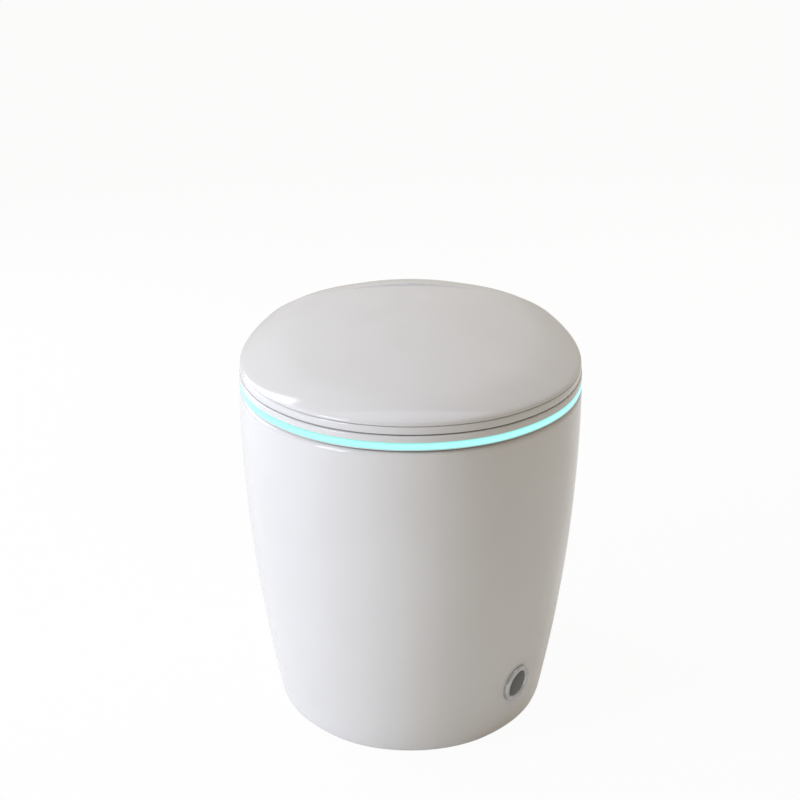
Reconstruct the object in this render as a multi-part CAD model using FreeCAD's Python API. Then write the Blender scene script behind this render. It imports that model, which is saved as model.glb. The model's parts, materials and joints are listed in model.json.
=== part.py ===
"""Floor-standing smart toilet with a heated seat, a domed soft-close lid and a lit band under the seat.

Millimetres. +Z is up, -Y is the front, +X is the right-hand side seen from the front.
The origin is on the floor under the middle of the plan.
"""
import FreeCAD
import Part
import math
import os
from FreeCAD import Vector

# ---- plan outline, at the height of the lit band -------------------------------------------------
HALF_WIDTH = 214.0          # at the widest plane
FRONT_DEPTH = 290.0         # widest plane to the front
REAR_DEPTH = 310.0          # widest plane to the back
WIDEST_Y = -10.0
FRONT_TURNS = (18.3, 47.4)  # degrees turned where the flank arc and the shoulder arc end
FRONT_SHOULDER = 272.0      # radius of the arc between flank and nose
REAR_TURNS = (18.0, 58.0)
REAR_SHOULDER = 187.0
OVAL_TURN = 42.0            # degrees that the flank of the bowl and of the seat's hole turns through

# ---- ceramic pedestal ----------------------------------------------------------------------------
BODY_TOP = 393.0
FOOT_INSET = 45.0           # how far the foot stands in from the widest outline
FLARE_HEIGHT = 400.0        # height at which the flare ends
CERAMIC_WALL = 11.0
DECK_THICKNESS = 14.0
TOP_EDGE_RADIUS = 6.0
BAY_FRONT_Y = 98.0          # inside face of the wall between the bowl and the rear bay
BAY_FLOOR = 70.0

# ---- bowl and trapway ----------------------------------------------------------------------------
BOWL_HALF_WIDTH = 118.0
BOWL_RIM_FRONT = 53.0       # front of the plan to the bowl's edge
BOWL_FRONT_Y = WIDEST_Y - FRONT_DEPTH + BOWL_RIM_FRONT
BOWL_REAR_Y = 57.0
BOWL_WALL = 9.0
SUMP_Y = -135.0
SUMP_RADIUS = 30.0
SUMP_FLOOR = 88.0
TRAP_RADIUS = 27.0          # inside
TRAP_WALL = 8.0
TRAP_BEND = 40.0            # centreline radius of each bend
WEIR_LEVEL = 190.0          # water stands at this height
DIP_AXIS_Z = 113.0          # centreline of the trap at its lowest
UPLEG_ANGLE = 75.0          # from horizontal
OUTLET_Y = 10.0             # 305 mm from a wall that is 15 mm behind the body
OUTLET_LIFT = 6.0           # the outlet horn ends this far above the floor
WEB = 10.0                  # ceramic web that ties the outlet horn to the skirt
WEB_FOOT = 14.0
WEB_TOP = 90.0
JET_Z = 262.0               # flush jet in the rear wall of the bowl
JET_RADIUS = 9.0
JET_BORE = 6.5
JET_END_Y = 14.0            # inside the rear wall of the bowl

# ---- floor fixing ---------------------------------------------------------------------------------
SIDE_HOLE_Y = 130.0
SIDE_HOLE_Z = 42.0
SIDE_HOLE_RADIUS = 4.0
CAP_RADIUS = 11.0
CAP_SEAT = 4.0              # the cap's seat below the skin
BRACKET_GAP = 3.0           # bracket to the inside of the skirt
BRACKET_THICKNESS = 3.0
BRACKET_WIDTH = 30.0
BRACKET_FOOT = 22.0         # short, so that the hose nut has room beside it
BACK_ARCH_HALF = 85.0       # opening at the foot of the back for hose and cable
BACK_ARCH_TOP = 50.0
SEAL_WIDTH = 16.0
SEAL_HEIGHT = 12.0

# ---- foot sensor ----------------------------------------------------------------------------------
SENSOR_ANGLE = 36.5         # degrees that the skin faces forward of +X there
SENSOR_Z = 62.0
BEZEL_RADIUS = 24.0
BEZEL_PROUD = 4.0
BEZEL_SEAT = 1.6            # flat seat cut into the curved skin
WINDOW_RADIUS = 16.5
SENSOR_HOUSING_RADIUS = 17.5
SENSOR_HOUSING_DEPTH = 34.0
NUT_RADIUS = 26.0
NUT_THICKNESS = 7.0

# ---- rear bay contents -----------------------------------------------------------------------------
NOSE_HALF = 60.0            # fascia that closes the notch behind the bowl
NOSE_Z = 338.0
NOSE_GAP = 0.3
NOSE_WALL = 3.0
TRAY_HALF = 128.0
TRAY_Z = 304.0
TRAY_WALL = 3.0
TRAY_REAR_Y = 248.0
DECK_REAR_Y = 182.0         # the tray is decked over as far back as the rear cover's front wall
TRAY_FEET = ((-105.0, 114.0), (60.0, 114.0), (-105.0, 224.0), (60.0, 224.0))
TRAY_FOOT_RADIUS = 6.0
BAY_CLEARANCE = 2.0
TANK_LEFT = -124.0
TANK_TOP = 296.0
TANK_WALL = 3.0
PUMP_X = 0.0
PUMP_Y = 190.0
PUMP_RADIUS = 34.0
PUMP_HEIGHT = 26.0
MOTOR_RADIUS = 14.5
MOTOR_HEIGHT = 44.0
SUPPLY_INSET = 116.0        # widest plane to the water inlet and the cable gland
SUPPLY_X = HALF_WIDTH - SUPPLY_INSET
TANK_RIGHT = SUPPLY_X - 24.0
SUPPLY_Y = 130.0
CORD_Y = 190.0
INLET_THREAD_RADIUS = 10.48  # half-inch pipe thread
INLET_THREAD_LENGTH = 18.0
CORD_RADIUS = 3.6

HEATER_PLAN = (42.0, 116.0, 152.0, 208.0)
HEATER_HEIGHT = 59.0
HEATER_WALL = 3.0
SUPPLY_PLAN = (-30.0, 34.0, 196.0, 242.0)   # boxed power supply
SUPPLY_HEIGHT = 34.0
BOARD_PLAN = (-84.0, 36.0, 198.0, 240.0)
BOARD_LIFT = 6.0

# ---- wash wand --------------------------------------------------------------------------------------
WAND_SLOPE = 20.0           # degrees below horizontal
WAND_RADIUS = 7.0
WAND_TIP_Y = 62.0           # tip when drawn in
WAND_TIP_Z = 355.0
WAND_LENGTH = 128.0
WAND_STROKE = 90.0
GUIDE_START = 18.0          # behind the tip
GUIDE_LENGTH = 106.0
GUIDE_WALL = 2.2
GUIDE_CLEARANCE = 0.3

# ---- warm-air dryer ----------------------------------------------------------------------------------
FAN_X = -76.0
FAN_Y = 178.0
FAN_RADIUS = 36.0
FAN_HEIGHT = 34.0
FAN_Z = TRAY_Z + TRAY_WALL
ROTOR_RADIUS = 26.0
DRYER_X0 = -56.0
DRYER_X1 = -20.0
DRYER_Z0 = 364.0
DRYER_Z1 = 388.0
DRYER_Y = 57.0              # plane of the flap when shut
DRYER_PIN_Z = 385.5
DRYER_PIN_RADIUS = 1.5
LUG_WIDTH = 3.0

# ---- stack of rings on the ceramic ---------------------------------------------------------------
SHADOW_GAP = 2.2
RING_SEAT = 13.0            # the rings reach this far in from the plan outline
RAIL_HEIGHT = 1.0
LIGHT_HEIGHT = 8.0
LIGHT_PROUD = 0.4
LIGHT_DEPTH = 6.0
LIGHT_EASE = 1.0
CASING_EDGE_HEIGHT = 7.8
CASING_INSET = 0.6
CASING_WALL = 3.0
SEAT_GAP = 1.6
SEAT_EDGE_HEIGHT = 8.4
SEAT_INSET = 1.2
LID_GAP = 0.9
LID_INSET = 0.8

RAIL_Z = BODY_TOP + SHADOW_GAP
LIGHT_Z = RAIL_Z + RAIL_HEIGHT
CASING_Z = LIGHT_Z + LIGHT_HEIGHT + 0.2
CASING_TOP = CASING_Z + CASING_EDGE_HEIGHT
SEAT_Z = CASING_TOP + SEAT_GAP
SEAT_EDGE_TOP = SEAT_Z + SEAT_EDGE_HEIGHT
LID_Z = SEAT_EDGE_TOP + LID_GAP

# ---- hinge line shared by seat and lid -----------------------------------------------------------
HINGE_Y = 148.0
HINGE_Z = 446.0
BRIDGE_HALF = 64.0          # the fixed hinge bridge reaches this far either side
BRIDGE_RADIUS = 13.5
EAR_WIDTH = 18.0
EAR_GAP = 2.0
HUB_RADIUS = 12.0
DAMPER_RADIUS = 9.5
SHAFT_RADIUS = 5.0
SHAFT_CLEARANCE = 0.05

# ---- lid -----------------------------------------------------------------------------------------
LID_TOP = 472.0
LID_RADIUS_X = 760.0        # crown across
LID_RADIUS_Y = 2900.0       # crown front to back
LID_EDGE_EASE = 8.8
LID_WALL = 3.2
KNUCKLE_ANGLE = 60.0        # how far the lid rolls down behind the hinge line
PANEL_THICKNESS = 2.5
PANEL_DROP = 30.0           # inner panel below the outer skin, at the crown
PANEL_RADIUS_X = 2700.0
PANEL_RADIUS_Y = 7900.0
PANEL_FIT = 0.3
PANEL_REAR_Y = 90.0

# ---- seat ------------------------------------------------------------------------------------------
SEAT_HOLE_HALF = 105.0
SEAT_RIM_FRONT = 60.0       # front of the plan to the seat's hole
SEAT_HOLE_FRONT_Y = WIDEST_Y - FRONT_DEPTH + SEAT_RIM_FRONT
SEAT_HOLE_REAR_Y = 45.0
SEAT_CREST = 4.3            # crest of the seat above its edge
SEAT_SKIN = 3.0
SEAT_NOTCH_Y = 100.0        # rear edge between the ears
BASE_THICKNESS = 3.0
HEATER_THICKNESS = 0.8
BUMPER_RADIUS = 7.0

# ---- rear cover ----------------------------------------------------------------------------------
COVER_WALL = 3.0
COVER_GAP = 2.0             # between the rolled rear of the lid and the cover
COVER_LEAN = 6.0            # degrees that the cover's front wall leans back
SHOULDER_TOP = 466.0
SHOULDER_RADIUS_Y = 270.0
BROW_TOP = 470.0
BROW_HALF = 125.0
BROW_RADIUS_X = 412.0
BROW_RADIUS_Y = 350.0
COVER_EDGE_EASE = 11.0


# ---- helpers -------------------------------------------------------------------------------------
def quarter_arcs(depth, turns, shoulder):
    """Centre, radius, first and last angle of the three tangent arcs from the widest point to an end.

    The quarter lies in +X, +Y of the widest point's level. The flank's and the end's radii follow
    from the half width and the depth.
    """
    first, last = (math.radians(turn) for turn in turns)
    cos_1, sin_1, cos_2, sin_2 = math.cos(first), math.sin(first), math.cos(last), math.sin(last)
    width = HALF_WIDTH - shoulder * (cos_1 - cos_2)
    length = depth - shoulder * (sin_2 - sin_1)
    scale = (1 - cos_1) * (1 - sin_2) - cos_2 * sin_1
    flank = (width * (1 - sin_2) - length * cos_2) / scale
    end = (length * (1 - cos_1) - width * sin_1) / scale
    step = flank - shoulder
    shoulder_centre = (HALF_WIDTH - flank + step * cos_1, step * sin_1)
    return [((HALF_WIDTH - flank, 0.0), flank, 0.0, first), (shoulder_centre, shoulder, first, last),
            ((0.0, depth - end), end, last, math.pi / 2)]


FRONT_ARCS = quarter_arcs(FRONT_DEPTH, FRONT_TURNS, FRONT_SHOULDER)
REAR_ARCS = quarter_arcs(REAR_DEPTH, REAR_TURNS, REAR_SHOULDER)


def on_arc(arc, inset, angle, side, end, z):
    """Point of an arc at an angle; side is -1 on the left and end is -1 at the front."""
    (centre_x, centre_y), radius = arc[0], arc[1] - inset
    x = centre_x + radius * math.cos(angle)
    y = centre_y + radius * math.sin(angle)
    return Vector(side * x, WIDEST_Y + end * y, z)


def outline(inset, z):
    """Closed plan outline at height z, drawn in from the widest one by inset."""
    edges = []
    for arcs, end in ((FRONT_ARCS, -1), (REAR_ARCS, 1)):
        sides = (-1, 1) if end < 0 else (1, -1)
        quarters = []
        for side in sides:
            quarter = []
            for arc in arcs[:2]:
                first, last = arc[2], arc[3]
                points = [on_arc(arc, inset, a, side, end, z) for a in (first, (first + last) / 2, last)]
                quarter.append(points)
            quarters.append(quarter)
        cap = arcs[2]
        left, right = quarters
        tip = on_arc(cap, inset, math.pi / 2, 1, end, z)
        runs = left + [[left[1][2], tip, right[1][2]]] + [points[::-1] for points in right[::-1]]
        edges += [Part.Arc(*points).toShape() for points in runs]
    return Part.Wire(edges)


def skin_x(y, inset):
    """X of the outline, drawn in by inset, at y."""
    arcs, away = (REAR_ARCS, y - WIDEST_Y) if y > WIDEST_Y else (FRONT_ARCS, WIDEST_Y - y)
    for (centre_x, centre_y), radius, first, last in arcs:
        radius -= inset
        if away <= centre_y + radius * math.sin(last):
            return centre_x + math.sqrt(radius ** 2 - (away - centre_y) ** 2)
    return 0.0


def flare(z):
    """Inset of the pedestal's outer face at height z."""
    return FOOT_INSET * ((FLARE_HEIGHT - z) / FLARE_HEIGHT) ** 2


def plan_prism(inset, bottom, top):
    return Part.Face(outline(inset, bottom)).extrude(Vector(0, 0, top - bottom))


def rolled_prism(inset, bottom, top, radius, steps=2):
    """Plan prism with a rounded upper edge, worked as a few narrow bands."""
    sections = [outline(inset, bottom), outline(inset, top - radius)]
    for step in range(1, steps + 1):
        turn = math.pi / 2 * step / steps
        sections.append(outline(inset + radius * (1 - math.cos(turn)), top - radius * (1 - math.sin(turn))))
    return Part.makeLoft(sections, True, True)


def plan_ring(outer_inset, inner_inset, bottom, top):
    return plan_prism(outer_inset, bottom, top).cut(plan_prism(inner_inset, bottom, top))


def oval(half_width, front_y, rear_y, z):
    """Closed oval in plan, of four tangent arcs."""
    half_length = (rear_y - front_y) / 2
    middle = (rear_y + front_y) / 2
    turn = math.radians(OVAL_TURN)
    cos_t, sin_t = math.cos(turn), math.sin(turn)
    scale = (1 - cos_t) * (1 - sin_t) - cos_t * sin_t
    flank = (half_width * (1 - sin_t) - half_length * cos_t) / scale
    end = (half_length * (1 - cos_t) - half_width * sin_t) / scale
    side = half_width - flank
    tip = half_length - end
    join_x = side + flank * cos_t
    join_y = flank * sin_t
    ring = [(half_width, 0), (join_x, join_y), (0, tip + end), (-join_x, join_y), (-half_width, 0),
            (-join_x, -join_y), (0, -tip - end), (join_x, -join_y)]
    points = [Vector(x, middle + y, z) for x, y in ring]
    runs = [(7, 0, 1), (1, 2, 3), (3, 4, 5), (5, 6, 7)]
    return Part.Wire([Part.Arc(points[a], points[b], points[c]).toShape() for a, b, c in runs])


def oval_prism(half_width, front_y, rear_y, bottom, top):
    return Part.Face(oval(half_width, front_y, rear_y, bottom)).extrude(Vector(0, 0, top - bottom))


def block(x0, x1, y0, y1, z0, z1):
    return Part.makeBox(x1 - x0, y1 - y0, z1 - z0, Vector(x0, y0, z0))


def x_cylinder(radius, x0, x1, y=HINGE_Y, z=HINGE_Z):
    return Part.makeCylinder(radius, x1 - x0, Vector(x0, y, z), Vector(1, 0, 0))


def polygon_prism(points_yz, x0, x1):
    """Extrude a polygon drawn in the YZ plane along X."""
    corners = [Vector(x0, y, z) for y, z in points_yz]
    wire = Part.makePolygon(corners + corners[:1])
    return Part.Face(wire).extrude(Vector(x1 - x0, 0, 0))


def save(name, shape):
    os.makedirs("parts", exist_ok=True)
    merged = shape.copy().removeSplitter()
    if merged.isValid():
        shape = merged
    if not shape.isValid():
        print("not valid:", name)
    solids = shape.Solids
    shape = solids[0] if len(solids) == 1 else Part.Compound(solids)
    shape.exportStep("parts/" + name + ".step")
    corners = shape.tessellate(0.5)[0]
    spans = []
    for axis in "xyz":
        values = [getattr(corner, axis) for corner in corners]
        spans.append("%s %7.1f %7.1f" % (axis, min(values), max(values)))
    print("%-20s solids %2d  %s  cm3 %8.1f" % (name, len(solids), "  ".join(spans), shape.Volume / 1000))


# ---- pedestal ------------------------------------------------------------------------------------
def flared_solid(extra, bottom, top, bands, edge_radius=0.0):
    """Solid bounded by the pedestal's flared face, drawn in by extra, in a few level bands."""
    upright = top - edge_radius
    heights = [bottom + (upright - bottom) * i / bands for i in range(bands + 1)]
    sections = [outline(flare(z) + extra, z) for z in heights]
    if edge_radius:
        for turn in (math.pi / 4, math.pi / 2):
            draw = edge_radius * (1 - math.cos(turn))
            sections.append(outline(flare(upright) + extra + draw, upright + edge_radius * math.sin(turn)))
    return Part.makeLoft(sections, True, True)


def bowl_solid(wall):
    """The bowl's space, grown by wall."""
    # height, half width, front and rear of the oval at each level
    levels = [
        (BODY_TOP, BOWL_HALF_WIDTH, BOWL_FRONT_Y, BOWL_REAR_Y),
        (335.0, BOWL_HALF_WIDTH - 5, BOWL_FRONT_Y + 6, BOWL_REAR_Y - 10),
        (JET_Z, BOWL_HALF_WIDTH - 28, BOWL_FRONT_Y + 24, BOWL_REAR_Y - 47),
        (WEIR_LEVEL, BOWL_HALF_WIDTH - 62, BOWL_FRONT_Y + 52, BOWL_REAR_Y - 111),
        (SUMP_FLOOR + 12, SUMP_RADIUS, SUMP_Y - SUMP_RADIUS - 1, SUMP_Y + SUMP_RADIUS + 1),
        (SUMP_FLOOR - wall, 0.7 * SUMP_RADIUS + wall / 2, SUMP_Y - 0.7 * SUMP_RADIUS - wall / 2 - 1,
         SUMP_Y + 0.7 * SUMP_RADIUS + wall / 2 + 1),
    ]
    wires = [oval(half + wall, front - wall, rear + wall, z) for z, half, front, rear in levels[:-1]]
    z, half, front, rear = levels[-1]
    wires.append(oval(half, front, rear, z))
    return Part.makeLoft(wires, True, True)


def trap_path():
    """Centreline of the siphon trapway, from the sump over the weir and down to the outlet."""
    angle = math.radians(UPLEG_ANGLE)
    crest_z = WEIR_LEVEL + TRAP_RADIUS
    crest = Vector(0, OUTLET_Y - TRAP_BEND, crest_z - TRAP_BEND)
    turn = TRAP_BEND * (1 - math.cos(angle))
    leg = (crest_z - DIP_AXIS_Z - 2 * turn) / math.sin(angle)

    def on_crest(degrees):
        a = math.radians(degrees)
        return crest + Vector(0, TRAP_BEND * math.cos(a), TRAP_BEND * math.sin(a))

    leg_top = on_crest(90 + UPLEG_ANGLE)
    leg_foot = leg_top - Vector(0, leg * math.cos(angle), leg * math.sin(angle))
    dip = leg_foot - Vector(0, math.sin(angle) * TRAP_BEND, 0)
    dip.z = DIP_AXIS_Z
    centre = dip + Vector(0, 0, TRAP_BEND)

    def on_dip(degrees):
        a = math.radians(degrees)
        return centre + Vector(0, TRAP_BEND * math.sin(a), -TRAP_BEND * math.cos(a))

    start = Vector(0, SUMP_Y, DIP_AXIS_Z)
    edges = [
        Part.LineSegment(start, dip).toShape(),
        Part.Arc(dip, on_dip(UPLEG_ANGLE / 2), leg_foot).toShape(),
        Part.LineSegment(leg_foot, leg_top).toShape(),
        Part.Arc(leg_top, on_crest(45 + UPLEG_ANGLE / 2), on_crest(0)).toShape(),
        Part.LineSegment(on_crest(0), Vector(0, OUTLET_Y, OUTLET_LIFT)).toShape(),
    ]
    return Part.Wire(edges)


def trap_solid(radius):
    path = trap_path()
    start = path.Vertexes[0].Point
    circle = Part.Wire([Part.makeCircle(radius, start, Vector(0, 1, 0))])
    return path.makePipeShell([circle], True, False)


def pedestal():
    body = flared_solid(0, 0, BODY_TOP, 4, TOP_EDGE_RADIUS)
    inside = flared_solid(CERAMIC_WALL, -1, BODY_TOP + 1, 3)
    wide = 2 * HALF_WIDTH
    bowl_side = block(-wide, wide, -wide, BAY_FRONT_Y - CERAMIC_WALL, -1, BODY_TOP - DECK_THICKNESS)
    bay_side = block(-wide, wide, BAY_FRONT_Y, wide, BAY_FLOOR, BODY_TOP + 1)
    under_bay = block(-wide, wide, BAY_FRONT_Y, wide, -1, BAY_FLOOR - CERAMIC_WALL)
    body = body.cut([inside.common(room) for room in (bowl_side, bay_side, under_bay)])
    web = block(-wide, wide, OUTLET_Y - WEB / 2, OUTLET_Y + WEB / 2, WEB_FOOT, WEB_TOP)
    body = body.fuse([bowl_solid(BOWL_WALL), trap_solid(TRAP_RADIUS + TRAP_WALL), inside.common(web)])
    cuts = [bowl_solid(0), trap_solid(TRAP_RADIUS)]
    cuts.append(block(-NOSE_HALF - NOSE_GAP, NOSE_HALF + NOSE_GAP, 20, BAY_FRONT_Y + 1,
                      NOSE_Z - NOSE_GAP, BODY_TOP + 1))
    cuts.append(block(-BACK_ARCH_HALF, BACK_ARCH_HALF, TRAY_REAR_Y - 40, wide, -1, BACK_ARCH_TOP))
    cuts.append(Part.makeCylinder(JET_RADIUS + 0.3, BAY_FRONT_Y, Vector(0, 1, JET_Z), Vector(0, 1, 0)))
    for side in (-1, 1):
        place = Vector(side * 120, SIDE_HOLE_Y, SIDE_HOLE_Z)
        cuts.append(Part.makeCylinder(SIDE_HOLE_RADIUS, 80, place, Vector(side, 0, 0)))
        place = Vector(side * (side_skin(0) - CAP_SEAT), SIDE_HOLE_Y, SIDE_HOLE_Z)
        cuts.append(Part.makeCylinder(CAP_RADIUS + 0.3, 80, place, Vector(side, 0, 0)))
    for y, radius in ((SUPPLY_Y, INLET_THREAD_RADIUS), (CORD_Y, CORD_RADIUS + 4)):
        cuts.append(Part.makeCylinder(radius + 0.5, 40, Vector(SUPPLY_X, y, BAY_FLOOR - 30)))
    cuts.append(on_sensor(Part.makeCylinder(SENSOR_HOUSING_RADIUS + 0.5, 60, Vector(0, 0, -45))))
    cuts.append(on_sensor(Part.makeCylinder(BEZEL_RADIUS + 0.6, 20, Vector(0, 0, -BEZEL_SEAT))))
    for shape in cuts:
        body = body.cut(shape)
    return body


# ---- floor fixings -------------------------------------------------------------------------------
def side_skin(extra):
    """X of the pedestal's face, drawn in by extra, at the side holes."""
    return skin_x(SIDE_HOLE_Y, flare(SIDE_HOLE_Z) + extra)


def bracket_face():
    """X of the brackets' outer face, clear of the skirt at its narrowest behind them."""
    return skin_x(SIDE_HOLE_Y + BRACKET_WIDTH / 2, flare(0) + CERAMIC_WALL) - BRACKET_GAP


def both_sides(shape):
    return Part.Compound([shape, shape.mirror(Vector(0, 0, 0), Vector(1, 0, 0))])


def outlet_seal():
    """Soft ring on the outlet horn that seals it to the floor flange."""
    horn = TRAP_RADIUS + TRAP_WALL
    ring = Part.makeCylinder(horn + SEAL_WIDTH, SEAL_HEIGHT, Vector(0, OUTLET_Y, 1))
    ring = ring.cut(Part.makeCylinder(horn, SEAL_HEIGHT, Vector(0, OUTLET_Y, OUTLET_LIFT)))
    return ring.cut(Part.makeCylinder(TRAP_RADIUS, SEAL_HEIGHT, Vector(0, OUTLET_Y, 0)))


def floor_brackets():
    """Two angle brackets inside the skirt, screwed to the floor and held by the side screws."""
    face = bracket_face()
    y0 = SIDE_HOLE_Y - BRACKET_WIDTH / 2
    y1 = SIDE_HOLE_Y + BRACKET_WIDTH / 2
    foot = block(face - BRACKET_FOOT, face, y0, y1, 0, BRACKET_THICKNESS)
    upright = block(face - BRACKET_THICKNESS, face, y0, y1, 0, SIDE_HOLE_Z + 12)
    rib = Part.Face(Part.makePolygon([
        Vector(face - BRACKET_FOOT + 6, y0, BRACKET_THICKNESS), Vector(face - 1, y0, BRACKET_THICKNESS),
        Vector(face - 1, y0, SIDE_HOLE_Z), Vector(face - BRACKET_FOOT + 6, y0, BRACKET_THICKNESS),
    ])).extrude(Vector(0, 4, 0))
    bracket = foot.fuse([upright, rib])
    slot = Part.makeCylinder(3.5, 20, Vector(face - BRACKET_FOOT / 2, SIDE_HOLE_Y, -2))
    bracket = bracket.cut([slot, x_cylinder(2.5, face - 10, face + 5, SIDE_HOLE_Y, SIDE_HOLE_Z)])
    return both_sides(bracket)


def side_screws():
    """The two screws that pull the skirt onto the floor brackets."""
    face = bracket_face()
    seat = side_skin(0) - CAP_SEAT
    shank = x_cylinder(2.5, face - 5, seat, SIDE_HOLE_Y, SIDE_HOLE_Z)
    head = x_cylinder(6.0, seat, seat + 1.5, SIDE_HOLE_Y, SIDE_HOLE_Z)
    return both_sides(shank.fuse(head))


def side_caps():
    """Caps over the side screws."""
    seat = side_skin(0) - CAP_SEAT
    cap = x_cylinder(CAP_RADIUS, seat, seat + CAP_SEAT + 2.5, SIDE_HOLE_Y, SIDE_HOLE_Z)
    rim = [e for e in cap.Edges if e.BoundBox.XMin > seat + CAP_SEAT + 2.4]
    cap = cap.makeChamfer(1.2, rim)
    return both_sides(cap.cut(x_cylinder(CAP_RADIUS - 2, seat - 1, seat + 2.5, SIDE_HOLE_Y, SIDE_HOLE_Z)))


# ---- foot sensor -----------------------------------------------------------------------------------
def on_sensor(shape):
    """Place a shape modelled along +Z, with z = 0 on the skin, at the foot sensor."""
    angle = math.radians(SENSOR_ANGLE)
    arc = [arc for arc in FRONT_ARCS if angle <= arc[3]][0]
    place = on_arc(arc, flare(SENSOR_Z), angle, 1, -1, SENSOR_Z)
    slope = 2 * FOOT_INSET * (FLARE_HEIGHT - SENSOR_Z) / FLARE_HEIGHT ** 2
    normal = Vector(math.cos(angle), -math.sin(angle), -slope)
    shape = shape.copy()
    shape.Placement = FreeCAD.Placement(place, FreeCAD.Rotation(Vector(0, 0, 1), normal))
    return shape


def sensor_bezel():
    """Bright ring with a rolled rim, and the sleeve that passes through the wall."""
    ring = Part.makeCylinder(BEZEL_RADIUS, BEZEL_SEAT + BEZEL_PROUD, Vector(0, 0, -BEZEL_SEAT))
    rim = [e for e in ring.Edges if e.BoundBox.ZMin > BEZEL_PROUD - 0.01]
    ring = ring.makeChamfer(2.0, rim)
    sleeve = Part.makeCylinder(SENSOR_HOUSING_RADIUS, SENSOR_HOUSING_DEPTH,
                               Vector(0, 0, -SENSOR_HOUSING_DEPTH))
    shape = ring.fuse(sleeve)
    shape = shape.cut(Part.makeCylinder(WINDOW_RADIUS + 0.1, 30, Vector(0, 0, 0.5)))
    shape = shape.cut(Part.makeCylinder(WINDOW_RADIUS - 1.5, 80, Vector(0, 0, -70)))
    return on_sensor(shape)


def sensor_window():
    """Dark lens in the bezel."""
    lens = Part.makeCylinder(WINDOW_RADIUS, 2.2, Vector(0, 0, 0.5))
    rim = [e for e in lens.Edges if e.BoundBox.ZMin > 2.6]
    return on_sensor(lens.makeChamfer(0.5, rim))


def sensor_board():
    """Round circuit board with the two sensor eyes, behind the window."""
    board = Part.makeCylinder(WINDOW_RADIUS - 1.7, 1.6, Vector(0, 0, -9))
    eyes = [Part.makeCylinder(3.0, 6.5, Vector(x, 0, -7.4)) for x in (-7, 7)]
    plug = block(-5, 5, -4, 4, -17, -9)
    return on_sensor(board.fuse(eyes + [plug]))


def sensor_nut():
    """Nut that clamps the sensor against the inside of the wall."""
    z = -SENSOR_HOUSING_DEPTH + 4
    hexagon = Part.Face(Part.makePolygon([
        Vector(NUT_RADIUS * math.cos(math.radians(a)), NUT_RADIUS * math.sin(math.radians(a)), z)
        for a in range(0, 361, 60)]))
    nut = hexagon.extrude(Vector(0, 0, NUT_THICKNESS))
    collar = Part.makeCylinder(SENSOR_HOUSING_RADIUS + 4, SENSOR_HOUSING_DEPTH - 17.5, Vector(0, 0, z))
    return on_sensor(nut.fuse(collar).cut(Part.makeCylinder(SENSOR_HOUSING_RADIUS, 60, Vector(0, 0, -50))))


# ---- rings between the ceramic and the seat ----------------------------------------------------------
def shadow_gasket():
    """Dark seal, set back, that makes the shadow line over the ceramic."""
    return plan_ring(5.0, RING_SEAT, BODY_TOP, RAIL_Z)


def light_rail():
    """White rail that carries the light ring and backs it."""
    rail = plan_ring(0.3, RING_SEAT, RAIL_Z, LIGHT_Z + LIGHT_HEIGHT)
    return rail.cut(plan_ring(-1.0, LIGHT_DEPTH + 2.0, LIGHT_Z, CASING_TOP))


def light_ring():
    """Frosted ring that spreads the light, with its outer edges eased."""
    top = LIGHT_Z + LIGHT_HEIGHT
    ease = LIGHT_EASE
    sections = [outline(ease - LIGHT_PROUD, LIGHT_Z), outline(-LIGHT_PROUD, LIGHT_Z + ease),
                outline(-LIGHT_PROUD, top - ease), outline(ease - LIGHT_PROUD, top)]
    return Part.makeLoft(sections, True, True).cut(plan_prism(LIGHT_DEPTH, LIGHT_Z - 1, top + 1))


def light_strip():
    """Flexible strip with its row of light-emitting diodes, on the rail behind the ring."""
    return plan_ring(LIGHT_DEPTH + 1.6, LIGHT_DEPTH + 2.0, LIGHT_Z + 1, LIGHT_Z + LIGHT_HEIGHT - 1)


def top_casing():
    """White deck round the bowl that carries the seat."""
    plate_z = CASING_TOP - CASING_WALL
    body = rolled_prism(CASING_INSET, CASING_Z, CASING_TOP, 2.5)
    body = body.cut(plan_prism(CASING_INSET + CASING_WALL, CASING_Z - 1, plate_z))
    wall = plan_ring(RING_SEAT + 1, RING_SEAT + 1 + CASING_WALL, BODY_TOP, plate_z)
    inner = oval_prism(BOWL_HALF_WIDTH + 7, BOWL_FRONT_Y - 7, BOWL_REAR_Y + 7, BODY_TOP, plate_z)
    opening = oval_prism(BOWL_HALF_WIDTH + 4, BOWL_FRONT_Y - 4, BOWL_REAR_Y + 4, BODY_TOP - 1, CASING_TOP + 1)
    tray = tray_plan(-1.0, BODY_TOP - 1, CASING_TOP + 1)
    notch = block(-NOSE_HALF - 0.5, NOSE_HALF + 0.5, 20, BAY_FRONT_Y + 2, BODY_TOP - 1, CASING_TOP + 1)
    return body.fuse([wall, inner]).cut([opening, tray, notch])


# ---- rear bay ----------------------------------------------------------------------------------------
def tray_plan(shrink, bottom, top):
    """Plan of the tray in the rear bay, drawn in by shrink."""
    half = TRAY_HALF - shrink
    box = block(-half, half, BAY_FRONT_Y + BAY_CLEARANCE + shrink, TRAY_REAR_Y - shrink, bottom, top)
    inset = flare(TRAY_Z) + CERAMIC_WALL + BAY_CLEARANCE + shrink
    return box.common(plan_prism(inset, bottom, top))


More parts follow.
